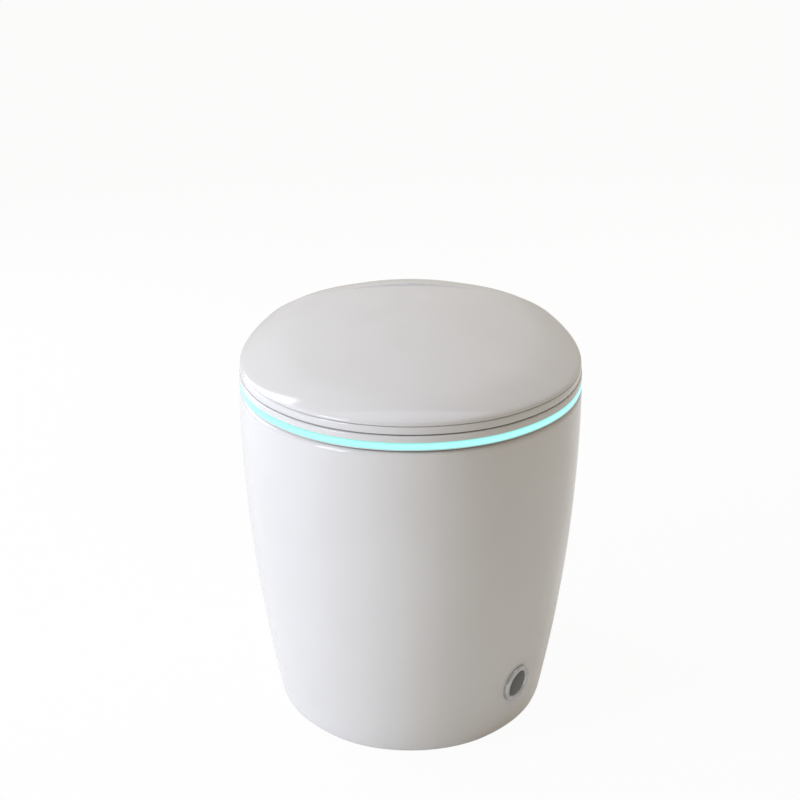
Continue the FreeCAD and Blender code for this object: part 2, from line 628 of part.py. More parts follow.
def service_tray():
    """Decked tray in the rear bay that carries the wash and dryer units; it stands on the reservoir."""
    top = CASING_TOP
    shell = tray_plan(0, TRAY_Z, top).cut(tray_plan(TRAY_WALL, TRAY_Z + TRAY_WALL, top + 1))
    deck = tray_plan(0, top - TRAY_WALL, top).common(block(-300, 300, 0, DECK_REAR_Y, TRAY_Z, top))
    window = block(-NOSE_HALF + NOSE_WALL, NOSE_HALF - NOSE_WALL, 0, BAY_FRONT_Y + 10,
                   NOSE_Z + NOSE_WALL, top - 2 * TRAY_WALL)
    feet = [Part.makeCylinder(TRAY_FOOT_RADIUS, TRAY_Z - TANK_TOP, Vector(x, y, TANK_TOP)) for x, y in TRAY_FEET]
    hole = Part.makeCylinder(9.0, 20, Vector(SUPPLY_X, SUPPLY_Y, TRAY_Z - 5))
    return shell.fuse([deck] + feet).cut([window, hole])


def wand_axis():
    slope = math.radians(WAND_SLOPE)
    return Vector(0, -math.cos(slope), -math.sin(slope))


def wand_cylinder(radius, start, length):
    """Cylinder on the wand's axis; start is measured back from the tip."""
    tip = Vector(0, WAND_TIP_Y, WAND_TIP_Z)
    return Part.makeCylinder(radius, length, tip - wand_axis() * (start + length), wand_axis())


def nozzle_fascia():
    """Fascia that closes the notch behind the bowl, with the wand's port and the dryer's mouth."""
    space = oval_prism(BOWL_HALF_WIDTH + 0.5, BOWL_FRONT_Y, BOWL_REAR_Y + 0.5, NOSE_Z - 1, CASING_TOP + 1)
    inner_space = oval_prism(BOWL_HALF_WIDTH + NOSE_WALL, BOWL_FRONT_Y, BOWL_REAR_Y + NOSE_WALL,
                             NOSE_Z - 2, CASING_TOP + 2)
    rear = BAY_FRONT_Y + BAY_CLEARANCE - 0.5
    body = block(-NOSE_HALF, NOSE_HALF, 25, rear, NOSE_Z, CASING_TOP).cut(space)
    room = block(-NOSE_HALF + NOSE_WALL, NOSE_HALF - NOSE_WALL, 20, rear + 1, NOSE_Z + NOSE_WALL,
                 CASING_TOP - NOSE_WALL).cut(inner_space)
    port = wand_cylinder(WAND_RADIUS + 1.5, -60, 90)
    mouth = block(DRYER_X0, DRYER_X1, 10, BOWL_REAR_Y + NOSE_WALL + 3, DRYER_Z0, DRYER_Z1)
    body = body.cut([room, port, mouth])
    lugs = []
    for x0 in (DRYER_X0 - LUG_WIDTH, DRYER_X1):
        lug = block(x0, x0 + LUG_WIDTH, BOWL_REAR_Y - 14, DRYER_Y + 3, DRYER_PIN_Z - 3, CASING_TOP - NOSE_WALL)
        lugs.append(lug.cut(oval_prism(BOWL_HALF_WIDTH + 1.5, BOWL_FRONT_Y, BOWL_REAR_Y + 1.5, NOSE_Z, CASING_TOP)))
    pin_hole = x_cylinder(DRYER_PIN_RADIUS + SHAFT_CLEARANCE, DRYER_X0 - LUG_WIDTH - 1, DRYER_X1 + LUG_WIDTH + 1,
                          DRYER_Y, DRYER_PIN_Z)
    return body.fuse(lugs).cut(pin_hole)


def wand_height(y):
    """Height of the wand's axis at y."""
    return WAND_TIP_Z + (y - WAND_TIP_Y) * math.tan(math.radians(WAND_SLOPE))


def wash_guide():
    """Sloping guide that the wand slides in, on its two stands."""
    inner = WAND_RADIUS + GUIDE_CLEARANCE
    tube = wand_cylinder(inner + GUIDE_WALL, GUIDE_START, GUIDE_LENGTH)
    stands = []
    for y0, y1 in ((BAY_FRONT_Y + 8, BAY_FRONT_Y + 16), (HINGE_Y, HINGE_Y + 24)):
        base = TRAY_Z + TRAY_WALL
        stands.append(polygon_prism([(y0, base), (y1, base), (y1, wand_height(y1)), (y0, wand_height(y0))], -8, 8))
    return tube.fuse(stands).cut(wand_cylinder(inner, 0, WAND_LENGTH + 20))


def wash_wand():
    """Wand that slides out over the bowl, with the rack on its underside."""
    wand = wand_cylinder(WAND_RADIUS, 12, WAND_LENGTH - 12)
    waterway = wand_cylinder(2.5, 20, WAND_LENGTH)
    return wand.cut(waterway)


def wand_tip():
    """Removable head with its spray holes."""
    head = wand_cylinder(WAND_RADIUS, 0, 12)
    edge = [e for e in head.Edges if e.BoundBox.YMax < WAND_TIP_Y + 4 and e.Curve.TypeId == "Part::GeomCircle"]
    head = head.makeChamfer(2.0, edge)
    jets = [Part.makeCylinder(1.2, 20, Vector(x, WAND_TIP_Y + 6.5, WAND_TIP_Z)) for x in (-2.6, 2.6)]
    return head.cut(jets)


def fan_housing():
    """Scroll of the warm-air blower, with its outlet towards the bowl."""
    drum = Part.makeCylinder(FAN_RADIUS, FAN_HEIGHT, Vector(FAN_X, FAN_Y, FAN_Z))
    throat_x = FAN_X + FAN_RADIUS
    throat = block(throat_x - 30, throat_x, FAN_Y - FAN_RADIUS - 14, FAN_Y, FAN_Z, FAN_Z + FAN_HEIGHT)
    wall = 2.0
    drum_room = Part.makeCylinder(FAN_RADIUS - wall, FAN_HEIGHT - 2 * wall, Vector(FAN_X, FAN_Y, FAN_Z + wall))
    throat_room = block(throat_x - 30 + wall, throat_x - wall, FAN_Y - FAN_RADIUS - 20, FAN_Y,
                        FAN_Z + wall, FAN_Z + FAN_HEIGHT - wall)
    intake = Part.makeCylinder(16, 10, Vector(FAN_X, FAN_Y, FAN_Z + FAN_HEIGHT - 5))
    return drum.fuse(throat).cut([drum_room, throat_room, intake])


def fan_rotor():
    """Forward-curved wheel of the blower on its motor shaft."""
    base = FAN_Z + 5
    disc = Part.makeCylinder(ROTOR_RADIUS, 2, Vector(FAN_X, FAN_Y, base))
    hub = Part.makeCylinder(6, FAN_HEIGHT - 12, Vector(FAN_X, FAN_Y, base))
    blades = []
    for index in range(16):
        blade = block(ROTOR_RADIUS - 8, ROTOR_RADIUS - 0.5, -0.6, 0.6, base + 1, base + FAN_HEIGHT - 12)
        blade.rotate(Vector(ROTOR_RADIUS - 8, 0, 0), Vector(0, 0, 1), 25)
        blade.translate(Vector(FAN_X, FAN_Y, 0))
        blade.rotate(Vector(FAN_X, FAN_Y, 0), Vector(0, 0, 1), index * 22.5)
        blades.append(blade)
    shaft = Part.makeCylinder(1.5, FAN_HEIGHT - 6, Vector(FAN_X, FAN_Y, FAN_Z + 2.3))
    return disc.fuse([hub, shaft] + blades)


def dryer_duct():
    """Duct from the blower up to the mouth beside the wand."""
    throat_x = FAN_X + FAN_RADIUS
    y0 = FAN_Y - FAN_RADIUS - 14.3
    y1 = 62.0

    def section(x0, x1, y, z0, z1):
        return Part.makePolygon([Vector(x0, y, z0), Vector(x1, y, z0), Vector(x1, y, z1),
                                 Vector(x0, y, z1), Vector(x0, y, z0)])

    fan_side = (throat_x - 30, throat_x, y0, FAN_Z, FAN_Z + FAN_HEIGHT)
    mid = (DRYER_X0 + 1, DRYER_X1 - 1, 104.0, NOSE_Z + 5, NOSE_Z + 30)
    end = (DRYER_X0 + 1, DRYER_X1 - 1, y1, DRYER_Z0 + 1, DRYER_Z1 - 1)

    def shrink(values, wall):
        x0, x1, y, z0, z1 = values
        return (x0 + wall, x1 - wall, y, z0 + wall, z1 - wall)

    outer = Part.makeLoft([section(*s) for s in (fan_side, mid, end)], True, True)
    inner = Part.makeLoft([section(*shrink(s, 1.5)) for s in (fan_side, mid, end)], True, True)
    return outer.cut(inner)


def dryer_flap():
    """Flap over the dryer's mouth, hung on its top edge."""
    gap = 0.4
    plate = block(DRYER_X0 + gap, DRYER_X1 - gap, DRYER_Y - 1, DRYER_Y + 1, DRYER_Z0 + gap, DRYER_PIN_Z)
    pin = x_cylinder(DRYER_PIN_RADIUS, DRYER_X0 - LUG_WIDTH + gap, DRYER_X1 + LUG_WIDTH - gap, DRYER_Y, DRYER_PIN_Z)
    return plate.fuse(pin)


def heater_tank():
    """Instant water heater."""
    x0, x1, y0, y1 = HEATER_PLAN
    z0 = TRAY_Z + TRAY_WALL
    z1 = z0 + HEATER_HEIGHT
    wall = HEATER_WALL
    body = block(x0, x1, y0, y1, z0, z1)
    uprights = [e for e in body.Edges if e.BoundBox.ZLength > 10]
    body = body.makeFillet(6.0, uprights)
    body = body.cut(block(x0 + wall, x1 - wall, y0 + wall, y1 - wall, z0 + wall, z1 - wall))
    ports = [Part.makeCylinder(4.5, 12, Vector(x, y1 - 14, z1 - 1)) for x in (x0 + 16, x1 - 16)]
    bores = [Part.makeCylinder(3.0, 20, Vector(x, y1 - 14, z1 - 6)) for x in (x0 + 16, x1 - 16)]
    return body.fuse(ports).cut(bores)


def heater_element():
    """Ceramic heating rod on its flange, inside the tank."""
    x0, x1, y0, y1 = HEATER_PLAN
    y = (y0 + y1) / 2
    z = TRAY_Z + TRAY_WALL + HEATER_HEIGHT / 2
    flange = x_cylinder(14.0, x0 + HEATER_WALL, x0 + HEATER_WALL + 3, y, z)
    return flange.fuse(x_cylinder(6.0, x0 + HEATER_WALL, x1 - HEATER_WALL - 8, y, z))


def valve_block():
    """Inlet valve with its solenoid."""
    base_z = TRAY_Z + TRAY_WALL
    body = block(SUPPLY_X - 17, SUPPLY_X + 17, SUPPLY_Y - 16, SUPPLY_Y + 16, base_z + 2, base_z + 30)
    stem = Part.makeCylinder(8.5, 8, Vector(SUPPLY_X, SUPPLY_Y, base_z - 3))
    coil = Part.makeCylinder(12, 26, Vector(SUPPLY_X, SUPPLY_Y, base_z + 30))
    return body.fuse([stem, coil])


def supply_hose():
    """Stiff hose from the inlet fitting up to the valve."""
    z0 = BAY_FLOOR + 12
    z1 = TRAY_Z - 0.1
    hose = Part.makeCylinder(7, z1 - z0, Vector(SUPPLY_X, SUPPLY_Y, z0))
    return hose.cut(Part.makeCylinder(4.5, z1 - z0, Vector(SUPPLY_X, SUPPLY_Y, z0)))


def inlet_fitting():
    """Half-inch male fitting for the water hose, clamped through the floor of the bay."""
    x, y = SUPPLY_X, SUPPLY_Y
    shoulder = BAY_FLOOR - CERAMIC_WALL - 1
    thread = Part.makeCylinder(INLET_THREAD_RADIUS, INLET_THREAD_LENGTH, Vector(x, y, shoulder - INLET_THREAD_LENGTH))
    neck = Part.makeCylinder(INLET_THREAD_RADIUS - 1, BAY_FLOOR - shoulder, Vector(x, y, shoulder))
    flange = Part.makeCylinder(16, 6, Vector(x, y, BAY_FLOOR))
    spigot = Part.makeCylinder(4.4, 30, Vector(x, y, BAY_FLOOR + 5))
    stop = Part.makeCylinder(9, 6, Vector(x, y, BAY_FLOOR + 6))
    bore = Part.makeCylinder(3.2, 80, Vector(x, y, BAY_FLOOR - 40))
    wide_bore = Part.makeCylinder(7.5, 20, Vector(x, y, BAY_FLOOR - 31))
    return thread.fuse([neck, flange, spigot, stop]).cut([bore, wide_bore])


def cord_gland():
    """Gland for the mains cable in the floor of the bay."""
    x, y = SUPPLY_X, CORD_Y
    body = Part.makeCylinder(CORD_RADIUS + 4, 24, Vector(x, y, BAY_FLOOR - 18))
    collar = Part.makeCylinder(CORD_RADIUS + 8, 5, Vector(x, y, BAY_FLOOR))
    return body.fuse(collar).cut(Part.makeCylinder(CORD_RADIUS, 60, Vector(x, y, BAY_FLOOR - 30)))


def power_supply():
    """Boxed supply, with the four bosses that the main board stands on."""
    x0, x1, y0, y1 = SUPPLY_PLAN
    z = TRAY_Z + TRAY_WALL
    case = block(x0, x1, y0, y1, z, z + SUPPLY_HEIGHT)
    case = case.makeChamfer(1.5, [e for e in case.Edges if e.BoundBox.ZLength > 10])
    bosses = [Part.makeCylinder(3.0, BOARD_LIFT, Vector(x, y, z + SUPPLY_HEIGHT))
              for x in (x0 + 6, x1 - 6) for y in (y0 + 8, y1 - 8)]
    return case.fuse(bosses)


def control_board():
    """Main circuit board over the power supply."""
    x0, x1, y0, y1 = BOARD_PLAN
    z = TRAY_Z + TRAY_WALL + SUPPLY_HEIGHT + BOARD_LIFT
    top = z + 1.6
    board = block(x0, x1, y0, y1, z, top)
    parts = [block(x0 + 6, x0 + 34, y0 + 6, y1 - 8, top, top + 12), block(-40, -14, y0 + 8, y1 - 12, top, top + 7),
             block(x1 - 16, x1 - 4, y0 + 4, y1 - 4, top, top + 10)]
    parts += [Part.makeCylinder(5, 13, Vector(x, (y0 + y1) / 2, top)) for x in (-4, 10)]
    return board.fuse(parts)


def tank_plan(shrink, bottom, top):
    box = block(TANK_LEFT + shrink, TANK_RIGHT - shrink, BAY_FRONT_Y + BAY_CLEARANCE + shrink,
                TRAY_REAR_Y - shrink, bottom, top)
    return box.common(flared_solid(CERAMIC_WALL + BAY_CLEARANCE + shrink, bottom, top, 2))


def flush_tank():
    """Tub of the built-in flush reservoir."""
    tub = tank_plan(0, BAY_FLOOR, TANK_TOP - 4)
    tub = tub.cut(tank_plan(TANK_WALL, BAY_FLOOR + TANK_WALL, TANK_TOP))
    return tub.cut(Part.makeCylinder(JET_RADIUS, 30, Vector(PUMP_X, BAY_FRONT_Y - 5, JET_Z), Vector(0, 1, 0)))


def tank_cover():
    """Lid of the flush reservoir, with its rim inside the tub."""
    plate = tank_plan(0, TANK_TOP - 4, TANK_TOP)
    rim = tank_plan(TANK_WALL + 0.6, TANK_TOP - 12, TANK_TOP - 4).cut(
        tank_plan(TANK_WALL + 2.5, TANK_TOP - 13, TANK_TOP - 3))
    return plate.fuse(rim)


def flush_pump():
    """Pump housing at the bottom of the reservoir, motor on top."""
    z = BAY_FLOOR + TANK_WALL
    drum = Part.makeCylinder(PUMP_RADIUS, PUMP_HEIGHT, Vector(PUMP_X, PUMP_Y, z))
    motor = Part.makeCylinder(MOTOR_RADIUS, MOTOR_HEIGHT, Vector(PUMP_X, PUMP_Y, z + PUMP_HEIGHT))
    room = Part.makeCylinder(PUMP_RADIUS - 3, PUMP_HEIGHT - 6, Vector(PUMP_X, PUMP_Y, z + 3))
    intake = Part.makeCylinder(8, 20, Vector(PUMP_X + 24, PUMP_Y, z + PUMP_HEIGHT - 6))
    return drum.cut([room, intake]).fuse(motor)


def pump_rotor():
    """Impeller of the flush pump."""
    z = BAY_FLOOR + TANK_WALL + 5
    disc = Part.makeCylinder(26, 2.5, Vector(PUMP_X, PUMP_Y, z))
    hub = Part.makeCylinder(5, PUMP_HEIGHT - 8, Vector(PUMP_X, PUMP_Y, z - 1.7))
    vanes = []
    for index in range(6):
        vane = block(4, 25, -1, 1, z + 1, z + 12)
        vane.translate(Vector(PUMP_X, PUMP_Y, 0))
        vane.rotate(Vector(PUMP_X, PUMP_Y, 0), Vector(0, 0, 1), index * 60)
        vanes.append(vane)
    return disc.fuse([hub] + vanes)


def jet_pipe():
    """Pipe from the pump through the wall of the bay to the jet in the bowl."""
    bend = 25.0
    start = Vector(PUMP_X, PUMP_Y - PUMP_RADIUS + 9, BAY_FLOOR + TANK_WALL + PUMP_HEIGHT)
    y = start.y
    corner = Vector(PUMP_X, y, JET_Z)
    first = corner - Vector(0, 0, bend)
    last = corner - Vector(0, bend, 0)
    turn = math.sqrt(0.5)
    middle = corner + Vector(0, -bend + bend * turn, -bend + bend * turn)
    end = Vector(PUMP_X, JET_END_Y, JET_Z)
    path = Part.Wire([Part.LineSegment(start, first).toShape(), Part.Arc(first, middle, last).toShape(),
                      Part.LineSegment(last, end).toShape()])

    def pipe(radius):
        circle = Part.Wire([Part.makeCircle(radius, start, Vector(0, 0, 1))])
        return path.makePipeShell([circle], True, False)

    return pipe(JET_RADIUS).cut(pipe(JET_BORE))


# ---- hinge ---------------------------------------------------------------------------------------------
def hinge_bridge():
    """Fixed bridge that holds both dampers on the hinge line."""
    foot_z = CASING_TOP
    barrel = x_cylinder(BRIDGE_RADIUS, -BRIDGE_HALF, BRIDGE_HALF)
    foot = block(-BRIDGE_HALF, BRIDGE_HALF, BAY_FRONT_Y + 8, HINGE_Y + 5, foot_z, foot_z + 4)
    neck = polygon_prism([(HINGE_Y - 30, foot_z), (HINGE_Y + 4, foot_z), (HINGE_Y + 6, HINGE_Z),
                          (HINGE_Y - 12, HINGE_Z)], -BRIDGE_HALF, BRIDGE_HALF)
    bore = x_cylinder(DAMPER_RADIUS, -BRIDGE_HALF - 1, BRIDGE_HALF + 1)
    return barrel.fuse([foot, neck]).cut(bore)


def damper(side):
    """Body of one rotary damper, in its half of the bridge."""
    x0, x1 = (4.0, BRIDGE_HALF) if side > 0 else (-BRIDGE_HALF, -4.0)
    body = x_cylinder(DAMPER_RADIUS, x0, x1)
    cut0, cut1 = (10.0, BRIDGE_HALF + 1) if side > 0 else (-BRIDGE_HALF - 1, -10.0)
    return body.cut(x_cylinder(SHAFT_RADIUS + SHAFT_CLEARANCE, cut0, cut1))


SEAT_EAR_X = BRIDGE_HALF + EAR_GAP
LID_EAR_X = SEAT_EAR_X + EAR_WIDTH + EAR_GAP
SHAFT_END_X = LID_EAR_X + EAR_WIDTH
BUSH_RADIUS = 7.0


def shaft(side, ear_x):
    """Damper shaft on one side, flattened where its own ear grips it."""
    x0, x1 = (11.0, SHAFT_END_X) if side > 0 else (-SHAFT_END_X, -11.0)
    rod = x_cylinder(SHAFT_RADIUS, x0, x1)
    e0, e1 = (ear_x, ear_x + EAR_WIDTH) if side > 0 else (-ear_x - EAR_WIDTH, -ear_x)
    flats = [block(e0, e1, HINGE_Y - 10, HINGE_Y + 10, HINGE_Z + 3.8, HINGE_Z + 10),
             block(e0, e1, HINGE_Y - 10, HINGE_Y + 10, HINGE_Z - 10, HINGE_Z - 3.8)]
    return rod.cut(flats)


def bush(side, ear_x):
    """Plain bush in the ear that turns freely on the other part's shaft."""
    x0, x1 = (ear_x, ear_x + EAR_WIDTH) if side > 0 else (-ear_x - EAR_WIDTH, -ear_x)
    return x_cylinder(BUSH_RADIUS, x0, x1).cut(x_cylinder(SHAFT_RADIUS + SHAFT_CLEARANCE, x0 - 1, x1 + 1))


def ear_bores(gripped_side, ear_x):
    """Flatted hole on the gripped side and round bush seat on the other, as one cutting shape."""
    e0, e1 = ear_x - 1, ear_x + EAR_WIDTH + 1
    if gripped_side < 0:
        grip = (-e1, -e0)
        free = (e0, e1)
    else:
        grip = (e0, e1)
        free = (-e1, -e0)
    flat = x_cylinder(SHAFT_RADIUS, grip[0], grip[1]).common(
        block(grip[0], grip[1], HINGE_Y - 10, HINGE_Y + 10, HINGE_Z - 3.8, HINGE_Z + 3.8))
    return [flat, x_cylinder(BUSH_RADIUS, free[0], free[1])]


# ---- seat ----------------------------------------------------------------------------------------------
def seat_form(shrink):
    """Contoured ring of the seat, drawn in by shrink; flat underneath at SEAT_Z."""
    edge = SEAT_INSET + shrink
    top = SEAT_EDGE_TOP - shrink
    hole = (SEAT_HOLE_HALF + shrink, SEAT_HOLE_FRONT_Y - shrink, SEAT_HOLE_REAR_Y + shrink)

    def at_hole(grow, z):
        return oval(hole[0] + grow, hole[1] - grow, hole[2] + grow, z)

    outside = [outline(edge, SEAT_Z), outline(edge, top - 1.6), outline(edge + 0.5, top - 0.4),
               outline(edge + 2.0, top), outline(edge + 6.0, top + 0.4), outline(edge + 20.0, top + SEAT_CREST)]
    low = SEAT_Z + BASE_THICKNESS
    rise = top + SEAT_CREST - low
    funnel = [at_hole(0, SEAT_Z), at_hole(0, low), at_hole(1.8, low + 0.35 * rise), at_hole(7.0, low + 0.65 * rise),
              at_hole(24.0, low + rise), at_hole(32.0, low + rise + 2)]
    return Part.makeLoft(outside, True, True).cut(Part.makeLoft(funnel, True, True))


def seat_rear_cut(gap):
    """Space behind the seat: everything behind the hinge line and the notch for the bridge."""
    behind = block(-300, 300, HINGE_Y - gap, 400, SEAT_Z - 5, SEAT_Z + 60)
    notch = block(-SEAT_EAR_X - gap, SEAT_EAR_X + gap, SEAT_NOTCH_Y - gap, 400, SEAT_Z - 5, SEAT_Z + 60)
    return [behind, notch]


def seat_upper():
    """Heated upper shell of the seat, with the two hinge ears."""
    shell = seat_form(0).cut(seat_form(SEAT_SKIN).cut(seat_rear_cut(SEAT_SKIN)))
    shell = shell.cut(seat_rear_cut(0))
    ears = []
    for side in (-1, 1):
        x0, x1 = (SEAT_EAR_X, SEAT_EAR_X + EAR_WIDTH) if side > 0 else (-SEAT_EAR_X - EAR_WIDTH, -SEAT_EAR_X)
        hub = x_cylinder(HUB_RADIUS, x0, x1)
        arm = polygon_prism([(HINGE_Y - HUB_RADIUS + 0.3, HINGE_Z + 2), (HINGE_Y + 2, HINGE_Z - HUB_RADIUS + 0.3),
                             (HINGE_Y, SEAT_Z + BASE_THICKNESS), (HINGE_Y - 46, SEAT_Z + BASE_THICKNESS),
                             (HINGE_Y - 46, SEAT_Z + 10)], x0, x1)
        ears.append(hub.fuse(arm))
    return shell.fuse(ears).cut(ear_bores(-1, SEAT_EAR_X))


def seat_base():
    """Under-plate that closes the seat from below, behind the skin."""
    gap = 0.2
    outer = plan_prism(SEAT_INSET + SEAT_SKIN + gap, SEAT_Z, SEAT_Z + BASE_THICKNESS)
    hole = oval_prism(SEAT_HOLE_HALF + SEAT_SKIN + gap, SEAT_HOLE_FRONT_Y - SEAT_SKIN - gap,
                      SEAT_HOLE_REAR_Y + SEAT_SKIN + gap, SEAT_Z - 1, SEAT_Z + BASE_THICKNESS + 1)
    plate = outer.cut([hole] + seat_rear_cut(SEAT_SKIN + gap))
    return plate.cut(seat_bumper_pockets(0.0))


def bumper_places():
    """Under the widest part of the seat, and either side of its front."""
    places = [(HALF_WIDTH - 64, 60), (HALF_WIDTH - 94, WIDEST_Y - FRONT_DEPTH + 92)]
    return [Vector(side * x, y, 0) for x, y in places for side in (-1, 1)]


def seat_bumper_pockets(extra):
    return [Part.makeCylinder(BUMPER_RADIUS - 2 + extra, 40, place + Vector(0, 0, SEAT_Z - 10))
            for place in bumper_places()]


def seat_bumpers():
    """Four soft feet under the seat."""
    feet = []
    for place in bumper_places():
        pad = Part.makeCylinder(BUMPER_RADIUS, SEAT_GAP - 0.1, place + Vector(0, 0, CASING_TOP + 0.1))
        stem = Part.makeCylinder(BUMPER_RADIUS - 2, BASE_THICKNESS + SEAT_GAP - 0.1,
                                 place + Vector(0, 0, CASING_TOP + 0.1))
        feet.append(pad.fuse(stem))
    return Part.Compound(feet)


def seat_heater():
    """Heating foil under the upper shell's skin."""
    top = seat_form(SEAT_SKIN + 0.2)
    below = seat_form(SEAT_SKIN + 0.2 + HEATER_THICKNESS)
    band = plan_prism(SEAT_INSET + 16, SEAT_Z, SEAT_Z + 30)
    hole = oval_prism(SEAT_HOLE_HALF + 14, SEAT_HOLE_FRONT_Y - 14, SEAT_HOLE_REAR_Y + 14, SEAT_Z - 1, SEAT_Z + 31)
    foil = top.cut(below).common(band).cut([hole, block(-300, 300, 70, 400, 300, 500)])
    return foil.common(block(-300, 300, -400, 400, SEAT_Z + BASE_THICKNESS + 0.5, 500))


# ---- lid -----------------------------------------------------------------------------------------------
def crown(apex_z, radius_x, radius_y, reach):
    """Solid under a doubly curved crown whose summit is on the hinge line."""
    half = HALF_WIDTH + 20
    low = apex_z - 120
    side_z = apex_z - radius_x + math.sqrt(radius_x ** 2 - half ** 2)
    left = Vector(-half, HINGE_Y, side_z)
    right = Vector(half, HINGE_Y, side_z)
    arc = Part.Arc(left, Vector(0, HINGE_Y, apex_z), right).toShape()
    floor_left = Vector(-half, HINGE_Y, low)
    floor_right = Vector(half, HINGE_Y, low)
    wire = Part.Wire([arc, Part.makeLine(right, floor_right), Part.makeLine(floor_right, floor_left),
                      Part.makeLine(floor_left, left)])
    angle = math.degrees(math.asin(reach / radius_y))
    face = Part.Face(wire)
    centre = Vector(0, HINGE_Y, apex_z - radius_y)
    return face.revolve(centre, Vector(1, 0, 0), angle)


def dome(inset, apex_z, radius_x, radius_y, edge_ease, bottom, reach, half=400.0):
    """Plan prism under a crown, no wider than half, with its upper edge eased.

    A positive reach goes forward from the hinge line and a negative one back.
    """
    spare = bottom - 2 * edge_ease
    solid = plan_prism(inset, spare, apex_z + 20).common(crown(apex_z, radius_x, radius_y, reach))
    solid = solid.common(block(-half, half, -400, 400, spare, apex_z + 20))
    edges = []
    for edge in solid.Edges:
        middle = edge.valueAt((edge.FirstParameter + edge.LastParameter) / 2)
        upright = edge.BoundBox.ZMin < spare + 1
        if not upright and abs(middle.y - HINGE_Y) > 1 and abs(abs(middle.x) - half) > 1:
            edges.append(edge)
    solid = solid.makeChamfer(edge_ease, edges)
    return solid.common(block(-400, 400, -400, 400, bottom, apex_z + 20))


def lid_form(inset, drop, bottom, roll):
    """Domed lid with its rear rolled down about the hinge line."""
    front = dome(inset, LID_TOP - drop, LID_RADIUS_X - drop, LID_RADIUS_Y - drop, LID_EDGE_EASE - drop / 2,
                 bottom, HINGE_Y + FRONT_DEPTH + 40)
    section = [f for f in front.Faces if f.BoundBox.YMin > HINGE_Y - 0.01][0]
    upper = section.common(Part.Face(Part.makePolygon([
        Vector(-300, HINGE_Y, HINGE_Z), Vector(300, HINGE_Y, HINGE_Z), Vector(300, HINGE_Y, HINGE_Z + 60),
        Vector(-300, HINGE_Y, HINGE_Z + 60), Vector(-300, HINGE_Y, HINGE_Z)])))
    knuckle = upper.revolve(Vector(0, HINGE_Y, HINGE_Z), Vector(1, 0, 0), -roll)
    return front.fuse(knuckle)


def lid_shell():
    """Outer shell of the lid with its two hinge ears."""
    form = lid_form(LID_INSET, 0, LID_Z, KNUCKLE_ANGLE)
    room = lid_form(LID_INSET + LID_WALL, LID_WALL, LID_Z - 1, KNUCKLE_ANGLE - 7)
    barrel_room = x_cylinder(BRIDGE_RADIUS + 1, -LID_EAR_X + 0.5, LID_EAR_X - 0.5)
    shell = form.cut([room, barrel_room])
    ears = []
    for side in (-1, 1):
        x0, x1 = (LID_EAR_X, LID_EAR_X + EAR_WIDTH) if side > 0 else (-LID_EAR_X - EAR_WIDTH, -LID_EAR_X)
        hub = x_cylinder(HUB_RADIUS, x0, x1)
        web = block(x0, x1, HINGE_Y - 34, HINGE_Y, HINGE_Z - 4, LID_TOP + 5)
        ears.append(hub.fuse(web).common(form))
    return shell.fuse(ears).cut(ear_bores(1, LID_EAR_X))


def lid_panel():
    """Inner panel that closes the lid from below, fitted inside the shell."""
    top = LID_TOP - PANEL_DROP
    reach = HINGE_Y + FRONT_DEPTH + 40
    drop = LID_WALL + PANEL_FIT
    room = dome(LID_INSET + drop, LID_TOP - drop, LID_RADIUS_X - drop, LID_RADIUS_Y - drop,
                LID_EDGE_EASE - drop / 2, LID_Z, reach)
    upper = crown(top, PANEL_RADIUS_X, PANEL_RADIUS_Y, reach)
    lower = crown(top - PANEL_THICKNESS, PANEL_RADIUS_X, PANEL_RADIUS_Y, reach)
    panel = room.common(upper).cut(lower)
    return panel.common(block(-300, 300, -400, PANEL_REAR_Y, 300, 600))


# ---- rear cover ----------------------------------------------------------------------------------------
def knuckle_front(gap, bottom, top):
    """Space in front of the rear cover: follows the rolled rear of the lid and leans back above it."""
    half = math.sqrt(LID_RADIUS_X ** 2 - (LID_RADIUS_X - (LID_TOP - HINGE_Z)) ** 2)
    bulge = LID_TOP - HINGE_Z
    low = HINGE_Y + COVER_GAP + gap

    def room(z):
        left = Vector(-half, low, z)
        right = Vector(half, low, z)
        return Part.Wire([
            Part.Arc(left, Vector(0, low + bulge, z), right).toShape(),
            Part.makeLine(right, Vector(300, low, z)), Part.makeLine(Vector(300, low, z), Vector(300, -50, z)),
            Part.makeLine(Vector(300, -50, z), Vector(-300, -50, z)),
            Part.makeLine(Vector(-300, -50, z), Vector(-300, low, z)),
            Part.makeLine(Vector(-300, low, z), left)])

    lower = Part.Face(room(bottom)).extrude(Vector(0, 0, HINGE_Z - bottom))
    lean = (top - HINGE_Z) * math.tan(math.radians(COVER_LEAN))
    upper = Part.Face(room(HINGE_Z)).extrude(Vector(0, lean, top - HINGE_Z))
    return lower.fuse(upper)


def cover_form(shrink, bottom):
    """Rear cover's form: shoulders that carry on the lid's sides, and a raised brow in the middle."""
    reach = -(REAR_DEPTH - HINGE_Y + WIDEST_Y + 20)
    shoulder = dome(CASING_INSET + 0.2 + shrink, SHOULDER_TOP - shrink, LID_RADIUS_X - shrink,
                    SHOULDER_RADIUS_Y - shrink, COVER_EDGE_EASE - shrink / 2, bottom, reach)
    half = BROW_HALF - shrink
    brow = dome(CASING_INSET + 0.2 + shrink, BROW_TOP - shrink, BROW_RADIUS_X - shrink,
                BROW_RADIUS_Y - shrink, COVER_EDGE_EASE - shrink / 2, bottom, reach, half)
    return shoulder.fuse(brow).cut(knuckle_front(shrink, bottom - 2, BROW_TOP + 20))


def rear_cover():
    """Fixed cover over the rear bay."""
    form = cover_form(0, CASING_TOP)
    room = cover_form(COVER_WALL, CASING_TOP - 1)
    return form.cut(room)


